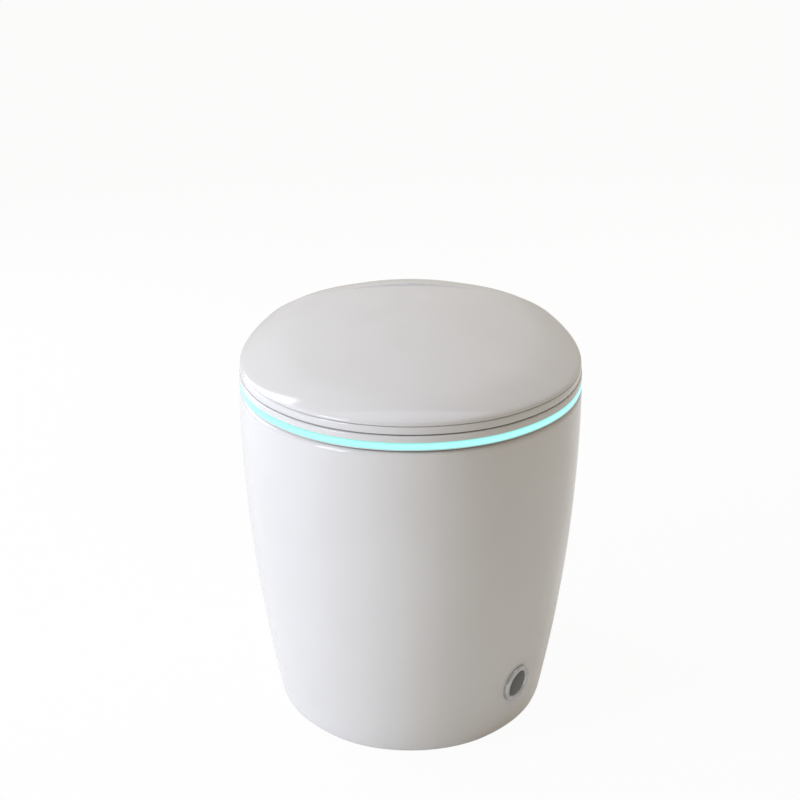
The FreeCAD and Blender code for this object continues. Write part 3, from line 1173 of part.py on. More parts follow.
PARTS = {
    "pedestal": pedestal,
    "outlet_seal": outlet_seal,
    "floor_brackets": floor_brackets,
    "side_screws": side_screws,
    "side_caps": side_caps,
    "foot_sensor_bezel": sensor_bezel,
    "foot_sensor_window": sensor_window,
    "foot_sensor_board": sensor_board,
    "foot_sensor_nut": sensor_nut,
    "shadow_gasket": shadow_gasket,
    "light_rail": light_rail,
    "light_ring": light_ring,
    "light_strip": light_strip,
    "top_casing": top_casing,
    "service_tray": service_tray,
    "nozzle_fascia": nozzle_fascia,
    "wash_guide": wash_guide,
    "wash_wand": wash_wand,
    "wand_tip": wand_tip,
    "fan_housing": fan_housing,
    "fan_rotor": fan_rotor,
    "dryer_duct": dryer_duct,
    "dryer_flap": dryer_flap,
    "heater_tank": heater_tank,
    "heater_element": heater_element,
    "valve_block": valve_block,
    "supply_hose": supply_hose,
    "inlet_fitting": inlet_fitting,
    "cord_gland": cord_gland,
    "power_supply": power_supply,
    "control_board": control_board,
    "flush_tank": flush_tank,
    "tank_cover": tank_cover,
    "flush_pump": flush_pump,
    "pump_rotor": pump_rotor,
    "jet_pipe": jet_pipe,
    "hinge_bridge": hinge_bridge,
    "seat_damper": lambda: damper(-1),
    "lid_damper": lambda: damper(1),
    "seat_shaft": lambda: shaft(-1, SEAT_EAR_X),
    "lid_shaft": lambda: shaft(1, LID_EAR_X),
    "seat_bush": lambda: bush(1, SEAT_EAR_X),
    "lid_bush": lambda: bush(-1, LID_EAR_X),
    "seat_upper": seat_upper,
    "seat_base": seat_base,
    "seat_bumpers": seat_bumpers,
    "seat_heater": seat_heater,
    "lid_shell": lid_shell,
    "lid_panel": lid_panel,
    "rear_cover": rear_cover,
}

for name, make in PARTS.items():
    save(name, make())
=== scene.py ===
"""Looks of the smart toilet: glazed pedestal, white seat and lid, lit ring and foot sensor.

Metres, in the same frame as the model: +Z up, -Y the front, +X the right-hand side seen from the
front, origin on the floor. Each sub-part and each finish has its own function.
"""
import bpy
import bmesh
import json
import math
from mathutils import Matrix, Vector


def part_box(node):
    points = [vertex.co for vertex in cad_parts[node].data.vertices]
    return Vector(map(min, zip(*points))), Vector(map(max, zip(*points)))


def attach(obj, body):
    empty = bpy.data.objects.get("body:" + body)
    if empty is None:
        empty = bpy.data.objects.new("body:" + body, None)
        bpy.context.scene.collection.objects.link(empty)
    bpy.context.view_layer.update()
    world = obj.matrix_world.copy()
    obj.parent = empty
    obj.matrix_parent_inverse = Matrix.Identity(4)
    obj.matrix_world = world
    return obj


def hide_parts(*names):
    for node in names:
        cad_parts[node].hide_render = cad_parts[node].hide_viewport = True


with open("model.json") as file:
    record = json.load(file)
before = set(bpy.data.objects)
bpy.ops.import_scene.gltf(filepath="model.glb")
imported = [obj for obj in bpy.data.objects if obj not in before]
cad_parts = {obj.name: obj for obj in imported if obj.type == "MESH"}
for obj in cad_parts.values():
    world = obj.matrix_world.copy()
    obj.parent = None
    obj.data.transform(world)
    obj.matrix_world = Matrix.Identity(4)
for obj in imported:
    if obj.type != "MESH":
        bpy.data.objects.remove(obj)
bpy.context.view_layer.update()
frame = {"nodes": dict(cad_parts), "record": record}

# ---- plan outline, as the ceramic, the rings, the seat and the lid share it ------------------------
HALF_WIDTH = 0.214
FRONT_DEPTH = 0.290
REAR_DEPTH = 0.310
WIDEST_Y = -0.010
FRONT_TURNS = (18.3, 47.4)      # degrees where the arcs of flank and shoulder end
FRONT_SHOULDER = 0.272          # radius of the shoulder's arc
REAR_TURNS = (18.0, 58.0)
REAR_SHOULDER = 0.187
ARC_STEPS = (12, 14, 20)        # points along flank, shoulder and end of each quarter

# ---- pedestal --------------------------------------------------------------------------------------
FOOT_INSET = 0.045
FLARE_HEIGHT = 0.400
CERAMIC_WALL = 0.011
TOP_EDGE_RADIUS = 0.006
FOOT_EDGE_RADIUS = 0.0025
SKIRT_ROWS = 34
BAY_FRONT_Y = 0.098
NOTCH_HALF = 0.0603
NOTCH_FRONT_Y = 0.020
NOTCH_Z = 0.3377
ARCH_HALF = 0.085
ARCH_FRONT_Y = 0.150
ARCH_TOP = 0.050
# height, half width, front and rear of the bowl's oval
BOWL_LEVELS = ((0.393, 0.1180, -0.2470, 0.0570), (0.335, 0.1130, -0.2410, 0.0470),
               (0.262, 0.0900, -0.2230, 0.0100), (0.190, 0.0560, -0.1950, -0.0540),
               (0.130, 0.0340, -0.1700, -0.1000), (0.100, 0.0290, -0.1640, -0.1060))
BOWL_ROWS = 40
BOWL_RIM_RADIUS = 0.005
SUMP_DEPTH = 0.012

# ---- stack of rings --------------------------------------------------------------------------------
BODY_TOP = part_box("pedestal")[1].z
LIGHT_Z, LIGHT_TOP = (corner.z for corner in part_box("light_ring"))
CASING_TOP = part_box("top_casing")[1].z
SEAT_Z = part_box("seat_base")[0].z
LID_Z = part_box("lid_shell")[0].z
JOINT_GAP = 0.0002              # between a ring and what it lies on
LIGHT_DEPTH = 0.006
LIGHT_EDGE = 0.0014
CASING_Z = LIGHT_TOP + JOINT_GAP
CASING_INSET = 0.0002
CASING_RETURN = 0.003           # width of the flat strip over the lit ring
CASING_EASE = 0.0006            # of the lower edge
CASING_EDGE = 0.0020            # of the upper edge
DECK_HOLE_REACH = 0.004         # of the deck's opening outside the bowl
DECK_HOLE_EDGE = 0.002
DECK_TRAY_BORDER = 0.004        # of the deck behind the tray
SEAT_INSET = 0.0012
LID_INSET = 0.0016
COVER_INSET = LID_INSET
SEAT_EDGE_TOP = SEAT_Z + 0.0089

# ---- hinge, lid, cover and seat --------------------------------------------------------------------
HINGE = Vector((0, 0.148, 0.446))
LID_TOP = 0.472
LID_RADII = (0.760, 2.900)      # crown across, and front to back
SHOULDER_WIDTH = 0.062          # of the elliptical shoulder that lid and cover share
CROWN_DRAW = 0.134              # how far in the crown follows the plan outline
SPINE_SHARE = 0.75              # length of the line that the crown's last loops close on
LIP_TOP = LID_Z + 0.0021
LID_LIP = 0.0012
LID_WALL = 0.0032
KNUCKLE_TURN = 60.0             # degrees that the lid's rear rolls down
PANEL_TOP = 0.442
PANEL_RADII = (2.700, 7.900)
PANEL_THICKNESS = 0.0025
PANEL_GAP = 0.0058              # from the lid's outline to the panel's
PANEL_DRAWS = (0.012, 0.028, 0.046, 0.064, 0.082, 0.100, 0.118, 0.136)
PANEL_REAR_Y = 0.090
COVER_WALL = 0.003
COVER_GAP = 0.0034
COVER_LIP = 0.0010
COVER_LEAN = 6.0                # degrees, of the face behind the lid
SHOULDER_TOP = 0.4675
SHOULDER_RADII = (0.760, 0.420)
BROW_TOP = 0.470
BROW_RADII = (0.412, 0.420)
BROW_HALF = 0.125
BROW_BLEND = 0.0015             # how softly brow and shoulders meet
SEAT_HOLE = (0.105, -0.240, 0.045)      # half width, front and rear
SEAT_CREST = 0.0034
CREST_START = 0.0002            # step from the seat's edge to its crest
SEAT_ROWS = 14
SEAT_EDGE = 0.0020
SEAT_FOOT = (0.0010, 0.0003)    # rounding of the lower edge, and what its middle is drawn in
CREST_INSET = 0.0048            # from the seat's side to where its crest starts
CREST_FULLNESS = 0.8            # power of the sine; less than 1 is fuller
SEAT_LIP = (0.0062, 0.0050)     # width and depth of the rounding at the hole
SEAT_CHAMFER = 0.0008           # of the lower edge of the hole
SEAT_SKIN = 0.003
SEAT_SHELF = SEAT_Z + 0.0032    # underside of the shell's top
SEAT_NOTCH_Y = 0.100
SEAT_ARM = 0.046                # from the hinge line to the arm's front
LID_ARM = 0.034
EAR_WIDTH = 0.018
SEAT_EAR_X = 0.066
LID_EAR_X = 0.086
HUB_RADIUS = 0.012
HUB_EASE = 0.001

# ---- foot sensor and side caps ---------------------------------------------------------------------
SENSOR_TURN = 36.5
SENSOR_Z = 0.062
BEZEL_RADIUS = 0.024
BEZEL_PROUD = 0.004
BEZEL_EDGE = 0.0024
BEZEL_BACK = -0.0016            # rear face of the flange, measured from the skin
BARREL_RADIUS = 0.0175
BARREL_END = -0.0300
WINDOW_RADIUS = 0.0165
WINDOW_BACK = 0.0005
CAP_EDGE = 0.0022
CAP_DEPTH = 0.0060

# ---- tolerances ------------------------------------------------------------------------------------
AUTO_SHARP = math.radians(38)
COVER_SHARP = math.radians(30)
SKIN_MERGE = 2e-6               # joins what lies this close in a finished skin
LOOP_MERGE = 1e-6               # joins the first and the last loop of a ring
NODE_MERGE = 1e-5               # joins the loose triangles of a node
CUT_DISTANCE = 1e-7
CUT_MARGIN = 0.001              # how far a cut's test reaches past its edge
NEAR = 1e-6                     # how close counts as in the same place
ABOVE = 1e-5                    # how much higher counts as above a level


# ---- shader expressions ----------------------------------------------------------------------------
class Wire:
    """An output socket. Arithmetic on it adds Math nodes."""

    def __init__(self, tree, socket):
        self.tree = tree
        self.socket = socket

    def math(self, operation, *values):
        return self.tree.node("ShaderNodeMath", {"operation": operation}, *values)

    def __add__(self, other):
        return self.math("ADD", self, other)

    __radd__ = __add__

    def __mul__(self, other):
        return self.math("MULTIPLY", self, other)

    __rmul__ = __mul__

    def __sub__(self, other):
        return self.math("SUBTRACT", self, other)

    def __rsub__(self, other):
        return self.math("SUBTRACT", other, self)

    def __gt__(self, other):
        return self.math("GREATER_THAN", self, other)

    def __abs__(self):
        return self.math("ABSOLUTE", self)

    def clamp(self):
        return self.tree.node("ShaderNodeClamp", {}, self)


class Tree:
    """A node tree and what is added to it."""

    def __init__(self, tree):
        self.tree = tree

    def raw(self, kind, settings=None):
        made = self.tree.nodes.new(kind)
        for key, value in (settings or {}).items():
            setattr(made, key, value)
        return made

    def fill(self, socket, value):
        if isinstance(value, Wire):
            self.tree.links.new(value.socket, socket)
        elif hasattr(value, "is_output"):
            self.tree.links.new(value, socket)
        else:
            socket.default_value = value

    def node(self, kind, settings, *values, output=0, **named):
        """Add a node: settings first, then values or links by position or by socket name."""
        made = self.raw(kind, settings)
        for socket, value in zip(made.inputs, values):
            self.fill(socket, value)
        for name, value in named.items():
            self.fill(made.inputs[name.replace("_", " ")], value)
        return Wire(self, made.outputs[output])

    def white_rays(self):
        """1 where the camera or glass meets the background, and a share of that where gloss does."""
        rays = self.raw("ShaderNodeLightPath").outputs
        seen = Wire(self, rays["Is Camera Ray"]) + MIRRORED_WHITE * Wire(self, rays["Is Glossy Ray"])
        return (seen + Wire(self, rays["Is Transmission Ray"])).clamp()


class Shader(Tree):
    """One material and the nodes made in it."""

    def __init__(self, name):
        self.material = bpy.data.materials.new(name)
        self.material.use_nodes = True
        super().__init__(self.material.node_tree)
        self.principled = self.tree.nodes["Principled BSDF"]
        self.place = self.raw("ShaderNodeTexCoord").outputs["Object"]

    def noise(self, scale, detail=2.0, roughness=0.5):
        return self.node("ShaderNodeTexNoise", {}, Vector=self.place, Scale=scale, Detail=detail,
                         Roughness=roughness)

    def ramp(self, value, *stops):
        """Colour ramp; each stop is a position and a colour."""
        made = self.raw("ShaderNodeValToRGB")
        elements = made.color_ramp.elements
        while len(elements) < len(stops):
            elements.new(0.5)
        for element, (position, colour) in zip(elements, stops):
            element.position = position
            element.color = (*colour, 1)
        self.fill(made.inputs[0], value)
        return Wire(self, made.outputs[0])

    def mix(self, factor, first, second):
        """Blend of two colours; the node's colour sockets come after those for numbers and vectors."""
        made = self.raw("ShaderNodeMix", {"data_type": "RGBA"})
        self.fill(made.inputs[0], factor)
        self.fill(made.inputs[6], (*first, 1))
        self.fill(made.inputs[7], (*second, 1))
        return Wire(self, made.outputs[2])

    def bump(self, height, strength, distance):
        return self.node("ShaderNodeBump", {}, Strength=strength, Distance=distance, Height=height)

    def finish(self, **sockets):
        """Feed the surface shader; names use _ for a space."""
        for name, value in sockets.items():
            value = (*value, 1) if isinstance(value, tuple) else value
            self.fill(self.principled.inputs[name.replace("_", " ")], value)
        return self.material


# ---- finishes --------------------------------------------------------------------------------------
def glaze():
    """Vitreous white glaze: deep gloss over a faint waviness."""
    s = Shader("glazed_ceramic")
    tone = s.ramp(s.noise(7.0), (0.35, (0.800, 0.796, 0.786)), (0.65, (0.822, 0.820, 0.812)))
    wave = s.noise(16.0, 1.0)
    pores = s.noise(900.0, 1.0)
    return s.finish(Base_Color=tone, Roughness=0.04 + 0.05 * s.noise(40.0, 3.0),
                    Normal=s.bump(wave + 0.02 * pores, strength=0.10, distance=0.0012),
                    Specular_IOR_Level=0.55)


def moulded_white(name, low, high, gloss, texture):
    """Moulded white plastic with a fine skin; texture is the strength of its grain."""
    s = Shader(name)
    tone = s.ramp(s.noise(9.0), (0.35, low), (0.65, high))
    grain = s.noise(1400.0, 2.0) + 3.0 * s.noise(30.0, 1.0)
    return s.finish(Base_Color=tone, Roughness=gloss + 0.05 * s.noise(60.0, 3.0),
                    Normal=s.bump(grain, texture, distance=0.0004), Specular_IOR_Level=0.5)


def frosted_light():
    """Frosted diffuser, lit blue-green from behind; a shade deeper along its edges."""
    s = Shader("lit_diffuser")
    height_above = s.node("ShaderNodeSeparateXYZ", {}, s.place, output=2)
    middle = (LIGHT_Z + LIGHT_TOP) / 2
    half = (LIGHT_TOP - LIGHT_Z) / 2
    off_middle = abs((height_above - middle) * (1 / half))
    glow = s.ramp(off_middle + 0.06 * s.noise(55.0, 2.0), (0.0, (0.445, 1.0, 0.985)),
                  (0.72, (0.440, 1.0, 0.980)), (1.0, (0.26, 0.86, 0.76)))
    return s.finish(Base_Color=(0.030, 0.045, 0.042), Roughness=0.35 + 0.1 * s.noise(300.0),
                    Emission_Color=glow, Emission_Strength=1.0)


def speckled(name, dark, light, roughness):
    """Plain technical finish with a fine speckle in tone and relief."""
    s = Shader(name)
    speckle = s.noise(600.0, 4.0, 0.6)
    tone = s.ramp(speckle, (0.35, dark), (0.65, light))
    return s.finish(Base_Color=tone, Roughness=roughness + 0.1 * speckle,
                    Normal=s.bump(speckle, strength=0.15, distance=0.0003))


def polished_chrome():
    """Chrome plate with a faint ripple."""
    s = Shader("chrome_plate")
    tone = s.ramp(s.noise(120.0), (0.3, (0.50, 0.50, 0.51)), (0.7, (0.60, 0.60, 0.61)))
    return s.finish(Base_Color=tone, Metallic=1.0, Roughness=0.10 + 0.08 * s.noise(500.0, 3.0),
                    Normal=s.bump(s.noise(220.0, 2.0), strength=0.05, distance=0.0003))


def brushed(name, dark, light, axis_scale):
    """Metal brushed along the axis with the smallest scale."""
    s = Shader(name)
    stretched = s.node("ShaderNodeVectorMath", {"operation": "MULTIPLY"}, s.place, axis_scale)
    lines = s.node("ShaderNodeTexNoise", {}, Vector=stretched, Scale=40.0, Detail=4.0)
    tone = s.ramp(lines, (0.3, dark), (0.7, light))
    return s.finish(Base_Color=tone, Metallic=1.0, Roughness=0.24 + 0.18 * lines,
                    Normal=s.bump(lines, strength=0.12, distance=0.0003))


def infrared_window():
    """Dark infrared-clear window, almost black, with a faint depth."""
    s = Shader("infrared_window")
    tone = s.ramp(s.noise(90.0, 2.0), (0.3, (0.016, 0.014, 0.012)), (0.7, (0.030, 0.026, 0.022)))
    return s.finish(Base_Color=tone, Roughness=0.06 + 0.05 * s.noise(300.0), Coat_Weight=0.4)


def circuit():
    """Green solder mask over a grid of paler tracks."""
    s = Shader("circuit_board")
    grid = s.node("ShaderNodeTexBrick", {"offset": 0.5}, Vector=s.place, Scale=95.0, Mortar_Size=0.03,
                  output=1)
    tone = s.mix(grid, (0.012, 0.085, 0.035), (0.10, 0.28, 0.12))
    return s.finish(Base_Color=tone, Roughness=0.3 + 0.2 * s.noise(200.0))


def etched_foil():
    """Copper foil etched into close bands."""
    s = Shader("etched_foil")
    wave = s.node("ShaderNodeTexWave", {"bands_direction": "X"}, Vector=s.place, Scale=60.0,
                  Distortion=0.6)
    tone = s.ramp(wave, (0.45, (0.42, 0.20, 0.10)), (0.55, (0.68, 0.40, 0.24)))
    return s.finish(Base_Color=tone, Metallic=0.8, Roughness=0.35 + 0.2 * s.noise(200.0))


ALONG_X = (1.0, 12.0, 12.0)
ALONG_Z = (12.0, 12.0, 1.0)
FINISHES = {
    "ceramic": glaze(),
    "white_gloss": moulded_white("white_gloss", (0.790, 0.786, 0.780), (0.812, 0.810, 0.806),
                                 gloss=0.07, texture=0.03),
    "white_inner": moulded_white("white_satin", (0.62, 0.62, 0.61), (0.67, 0.67, 0.66),
                                 gloss=0.36, texture=0.10),
    "light": frosted_light(),
    # Seal in the shadow gap: its dark tone is the rubber's own, and its green tint is painted glow from
    # the lit ring above it.
    "seal_grey": speckled("seal_rubber_painted_green_glow", (0.010, 0.016, 0.014), (0.022, 0.032, 0.028), 0.45),
    "bumper_grey": speckled("bumper_rubber", (0.42, 0.42, 0.41), (0.50, 0.50, 0.49), 0.55),
    "chrome": polished_chrome(),
    "lens_dark": infrared_window(),
    "steel": brushed("brushed_steel", (0.38, 0.38, 0.39), (0.58, 0.58, 0.59), ALONG_X),
    "brass": brushed("turned_brass", (0.52, 0.38, 0.16), (0.72, 0.56, 0.28), ALONG_Z),
    "black_plastic": speckled("black_plastic", (0.014, 0.014, 0.015), (0.030, 0.030, 0.032), 0.42),
    "grey_plastic": speckled("grey_plastic", (0.17, 0.175, 0.18), (0.23, 0.235, 0.24), 0.4),
    "board_green": circuit(),
    "copper_foil": etched_foil(),
}


# ---- making and registering a piece ---------------------------------------------------------------
SLOT_OF = {part["node"]: part["material_slot"] for part in frame["record"]["subparts"]}
BODY_OF = {node: body
           for body, nodes in frame["record"]["behaviour"]["bodies"].items()
           for node in nodes}


def register(mesh, name, body, slot, nodes=(), sharp=AUTO_SHARP):
    """Turn a bmesh into a piece that rides on a body and stands for CAD nodes."""
    bmesh.ops.remove_doubles(mesh, verts=mesh.verts, dist=SKIN_MERGE)
    bmesh.ops.recalc_face_normals(mesh, faces=mesh.faces)
    for face in mesh.faces:
        face.smooth = True
    for edge in mesh.edges:
        edge.smooth = edge.calc_face_angle(0.0) < sharp
    data = bpy.data.meshes.new(name)
    mesh.to_mesh(data)
    mesh.free()
    piece = bpy.data.objects.new(name, data)
    bpy.context.scene.collection.objects.link(piece)
    data.materials.append(FINISHES[slot])
    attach(piece, body)
    if nodes:
        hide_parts(*nodes)
    return piece


def modify(piece, kind, **settings):
    """Add a modifier with its settings."""
    made = piece.modifiers.new(kind.lower(), kind)
    for key, value in settings.items():
        setattr(made, key, value)


def merged_node(node):
    """A node's own mesh with its loose triangles joined."""
    mesh = bmesh.new()
    mesh.from_mesh(frame["nodes"][node].data)
    bmesh.ops.remove_doubles(mesh, verts=mesh.verts, dist=NODE_MERGE)
    return mesh


def smoothed_node(node):
    """The node's own shape, shaded smooth between its real edges."""
    register(merged_node(node), node + "_skin", BODY_OF[node], SLOT_OF[node], (node,))


class Loft:
    """A skin drawn out through closed loops of as many points each."""

    def __init__(self, points):
        self.mesh = bmesh.new()
        self.start = points
        self.verts = [self.mesh.verts.new(point) for point in points]
        self.edges = [self.mesh.edges.new(pair) for pair in self.pairs()]

    def pairs(self):
        return [(self.verts[i - 1], self.verts[i]) for i in range(len(self.verts))]

    def add(self, points):
        """Draw the last loop out to the next one."""
        made = bmesh.ops.extrude_edge_only(self.mesh, edges=self.edges)
        fresh = {item for item in made["geom"] if isinstance(item, bmesh.types.BMVert)}
        drawn = []
        for vert, point in zip(self.verts, points):
            ends = (edge.other_vert(vert) for edge in vert.link_edges)
            twin = next(end for end in ends if end in fresh)
            twin.co = point
            drawn.append(twin)
        self.verts = drawn
        self.edges = [self.mesh.edges.get(pair) for pair in self.pairs()]

    def around(self, pairs):
        """Draw out along the plan outline, at each inset and height."""
        for inset, height in pairs:
            self.add(outline(inset, height))

    def inside(self, hole, pairs):
        """Draw out along a hole, at each reach outside it and height."""
        for reach, height in pairs:
            self.add(oval(hole, reach, height))

    def close(self):
        """Join the last loop to the first, for a ring."""
        self.add(self.start)
        bmesh.ops.remove_doubles(self.mesh, verts=self.mesh.verts, dist=LOOP_MERGE)

    def crown(self, draw, shares, height):
        """Close the last loop, drawn in by draw, over a crown that narrows to a line and a pole."""
        inner = outline(draw, height)
        spine = [Vector((0, SPINE_SHARE * point.y, 0)) for point in inner]
        for share in shares:
            self.add(between(inner, spine, share, height))
        self.pole(height)

    def pole(self, height):
        """Close the last loop with a fan whose centre is at a height."""
        made = bmesh.ops.edgeloop_fill(self.mesh, edges=self.edges)
        poked = bmesh.ops.poke(self.mesh, faces=made["faces"])
        for vert in poked["verts"]:
            vert.co.z = height(vert.co.x, vert.co.y)


# ---- outlines --------------------------------------------------------------------------------------
def quarter_arcs(depth, turns, shoulder):
    """Centre, radius, first and last angle of the three tangent arcs of a quarter."""
    first, last = (math.radians(turn) for turn in turns)
    cos_1, sin_1, cos_2, sin_2 = math.cos(first), math.sin(first), math.cos(last), math.sin(last)
    width = HALF_WIDTH - shoulder * (cos_1 - cos_2)
    length = depth - shoulder * (sin_2 - sin_1)
    scale = (1 - cos_1) * (1 - sin_2) - cos_2 * sin_1
    flank = (width * (1 - sin_2) - length * cos_2) / scale
    end = (length * (1 - cos_1) - width * sin_1) / scale
    step = flank - shoulder
    shoulder_centre = (HALF_WIDTH - flank + step * cos_1, step * sin_1)
    return [((HALF_WIDTH - flank, 0.0), flank, 0.0, first),
            (shoulder_centre, shoulder, first, last),
            ((0.0, depth - end), end, last, math.pi / 2)]


FRONT_ARCS = quarter_arcs(FRONT_DEPTH, FRONT_TURNS, FRONT_SHOULDER)
REAR_ARCS = quarter_arcs(REAR_DEPTH, REAR_TURNS, REAR_SHOULDER)


def quarter(arcs, inset):
    """Points from the widest place to the end, both included, in the first quadrant."""
    points = []
    for ((centre_x, centre_y), radius, first, last), steps in zip(arcs, ARC_STEPS):
        for step in range(steps):
            angle = first + (last - first) * step / steps
            points.append((centre_x + (radius - inset) * math.cos(angle),
                           centre_y + (radius - inset) * math.sin(angle)))
    return points + [(0.0, centre_y + radius - inset)]


def level(height):
    """A height as a function of x and y, from a number or from such a function."""
    return height if callable(height) else lambda x, y: height


def outline(inset, height):
    """Loop round the plan, drawn in by inset; height is a number or a function of x and y."""
    front, rear = quarter(FRONT_ARCS, inset), quarter(REAR_ARCS, inset)
    flat = [(-x, -y) for x, y in front[:-1]] + [(x, -y) for x, y in front[:0:-1]]
    flat += [(x, y) for x, y in rear[:-1]] + [(-x, y) for x, y in rear[:0:-1]]
    lift = level(height)
    return [Vector((x, WIDEST_Y + y, lift(x, WIDEST_Y + y))) for x, y in flat]


REFERENCE = outline(0.0, 0.0)


def oval(hole, reach, height):
    """Oval loop outside a hole by reach, each point in the same direction as one of outline()."""
    half_width, front_y, rear_y = hole[0] + reach, hole[1] - reach, hole[2] + reach
    middle = (front_y + rear_y) / 2
    half_length = (rear_y - front_y) / 2
    lift = level(height)
    points = []
    for guide in REFERENCE:
        angle = math.atan2((guide.y - middle) / half_length, guide.x / half_width)
        x, y = half_width * math.cos(angle), middle + half_length * math.sin(angle)
        points.append(Vector((x, y, lift(x, y))))
    return points


def between(first, second, share, height):
    """Loop part of the way from one loop to another, at a height."""
    lift = level(height)
    points = [a.lerp(b, share) for a, b in zip(first, second)]
    for point in points:
        point.z = lift(point.x, point.y)
    return points


def inset_of(point):
    """How far a point lies inside the widest outline."""
    behind = point.y > WIDEST_Y
    along = abs(point.y - WIDEST_Y)
    inset = HALF_WIDTH
    for (centre_x, centre_y), radius, first, last in REAR_ARCS if behind else FRONT_ARCS:
        angle = math.atan2(along - centre_y, abs(point.x) - centre_x)
        if first - NEAR <= angle <= last + NEAR:
            inset = radius - math.hypot(along - centre_y, abs(point.x) - centre_x)
    return inset


def rear_y(x):
    """Y of the cover's outline at a distance from the middle."""
    for (centre_x, centre_y), radius, first, _ in reversed(REAR_ARCS):
        radius -= COVER_INSET
        reach = abs(x) - centre_x
        if reach <= radius * math.cos(first) + NEAR and abs(reach) <= radius:
            return WIDEST_Y + centre_y + math.sqrt(radius ** 2 - reach ** 2)
    return WIDEST_Y


def flare(z):
    """Inset of the pedestal's face at a height."""
    return FOOT_INSET * ((FLARE_HEIGHT - z) / FLARE_HEIGHT) ** 2


def rolled(steps):
    """Sine and versine pairs of a quarter turn, for rounded edges."""
    turns = [math.pi / 2 * step / steps for step in range(1, steps + 1)]
    return [(math.sin(turn), 1 - math.cos(turn)) for turn in turns]


def upper_edge(inset, top, radius, steps):
    """Inset and height pairs round an outer edge, from the wall up to the top."""
    return [(inset + radius * draw, top - radius * (1 - rise)) for rise, draw in rolled(steps)]


def hole_edge(reach, top, width, depth, steps):
    """Reach and height pairs round the edge of a hole, from the top down into it."""
    return [(reach + width * (1 - rise), top - depth * draw) for rise, draw in rolled(steps)]


def crown(top, radii):
    """Height of a doubly curved crown whose summit is over the hinge line."""
    across, along = radii

    def height(x, y):
        slope = top - across + math.sqrt(across ** 2 - x ** 2)
        return slope - along + math.sqrt(max(along ** 2 - (y - HINGE.y) ** 2, 0))
    return height


def dome(inset, height, bottom, lip):
    """Skin from a lip at the bottom, up a wall, round an elliptical shoulder and over a crown."""
    skin = Loft(outline(inset + lip, bottom))
    skin.around([(inset + 0.3 * lip, bottom + 0.3 * lip), (inset, bottom + lip), (inset, LIP_TOP)])
    for rise, draw in rolled(22):
        skin.add(outline(inset + SHOULDER_WIDTH * draw,
                         lambda x, y: LIP_TOP + (height(x, y) - LIP_TOP) * rise))
    rings = 6
    for ring in range(1, rings + 1):
        draw = inset + SHOULDER_WIDTH + (CROWN_DRAW - SHOULDER_WIDTH) * ring / rings
        skin.add(outline(draw, height))
    skin.crown(inset + CROWN_DRAW, (0.25, 0.5, 0.75), height)
    return skin.mesh


# ---- cutting and joining ---------------------------------------------------------------------------
def of_kind(items, kind):
    """The vertices or edges among what an operator gives back."""
    return [item for item in items if item.is_valid and isinstance(item, kind)]


def split(mesh, axis, *places):
    """Cut new edges where the planes across an axis at the places meet a mesh."""
    normal = Vector([float(axis == letter) for letter in "xyz"])
    for place in places:
        geometry = mesh.verts[:] + mesh.edges[:] + mesh.faces[:]
        bmesh.ops.bisect_plane(mesh, geom=geometry, dist=CUT_DISTANCE, plane_co=place * normal,
                               plane_no=normal)


def cut_away(mesh, place, normal):
    """Remove what lies on the normal's side of a plane, and give back the cut edges."""
    geometry = mesh.verts[:] + mesh.edges[:] + mesh.faces[:]
    made = bmesh.ops.bisect_plane(mesh, geom=geometry, dist=CUT_DISTANCE, plane_co=place,
                                  plane_no=normal, clear_outer=True)
    return of_kind(made["geom_cut"], bmesh.types.BMEdge)


def drop(mesh, test):
    """Delete the faces whose middle passes a test."""
    doomed = [face for face in mesh.faces if test(face.calc_center_median())]
    bmesh.ops.delete(mesh, geom=doomed, context="FACES")


def above(edges, z):
    """The edges that lie wholly above a level."""
    return [edge for edge in edges if min(vert.co.z for vert in edge.verts) > z]


def rims(mesh):
    """The edges of a mesh that have one face."""
    return [edge for edge in mesh.edges if edge.is_boundary]


def curtain(mesh, edges, height):
    """Hang a wall from edges down to a level."""
    made = bmesh.ops.extrude_edge_only(mesh, edges=edges)
    for vert in of_kind(made["geom"], bmesh.types.BMVert):
        vert.co.z = height


def ease_edges(mesh, edges, radius):
    """Round edges over."""
    bmesh.ops.bevel(mesh, geom=edges, offset=radius, segments=3, profile=0.5, affect="EDGES",
                    material=-1)


# ---- pedestal --------------------------------------------------------------------------------------
def bowl_level(z):
    """Half width, front and rear of the bowl at a height, on smooth curves through its levels."""
    levels = sorted(BOWL_LEVELS)
    z = min(max(z, levels[0][0]), levels[-1][0])
    index = next(k for k, upper in enumerate(levels[1:]) if z <= upper[0])
    lower, upper = levels[index], levels[index + 1]
    before = levels[max(index - 1, 0)]
    after = levels[min(index + 2, len(levels) - 1)]
    span = upper[0] - lower[0]
    share = (z - lower[0]) / span
    rise = 3 * share ** 2 - 2 * share ** 3
    values = []
    for k in (1, 2, 3):
        low_slope = (upper[k] - before[k]) / (upper[0] - before[0])
        high_slope = (after[k] - lower[k]) / (after[0] - lower[0])
        swing = (share ** 3 - 2 * share ** 2 + share) * low_slope + (share ** 3 - share ** 2) * high_slope
        values.append(lower[k] + (upper[k] - lower[k]) * rise + span * swing)
    return values


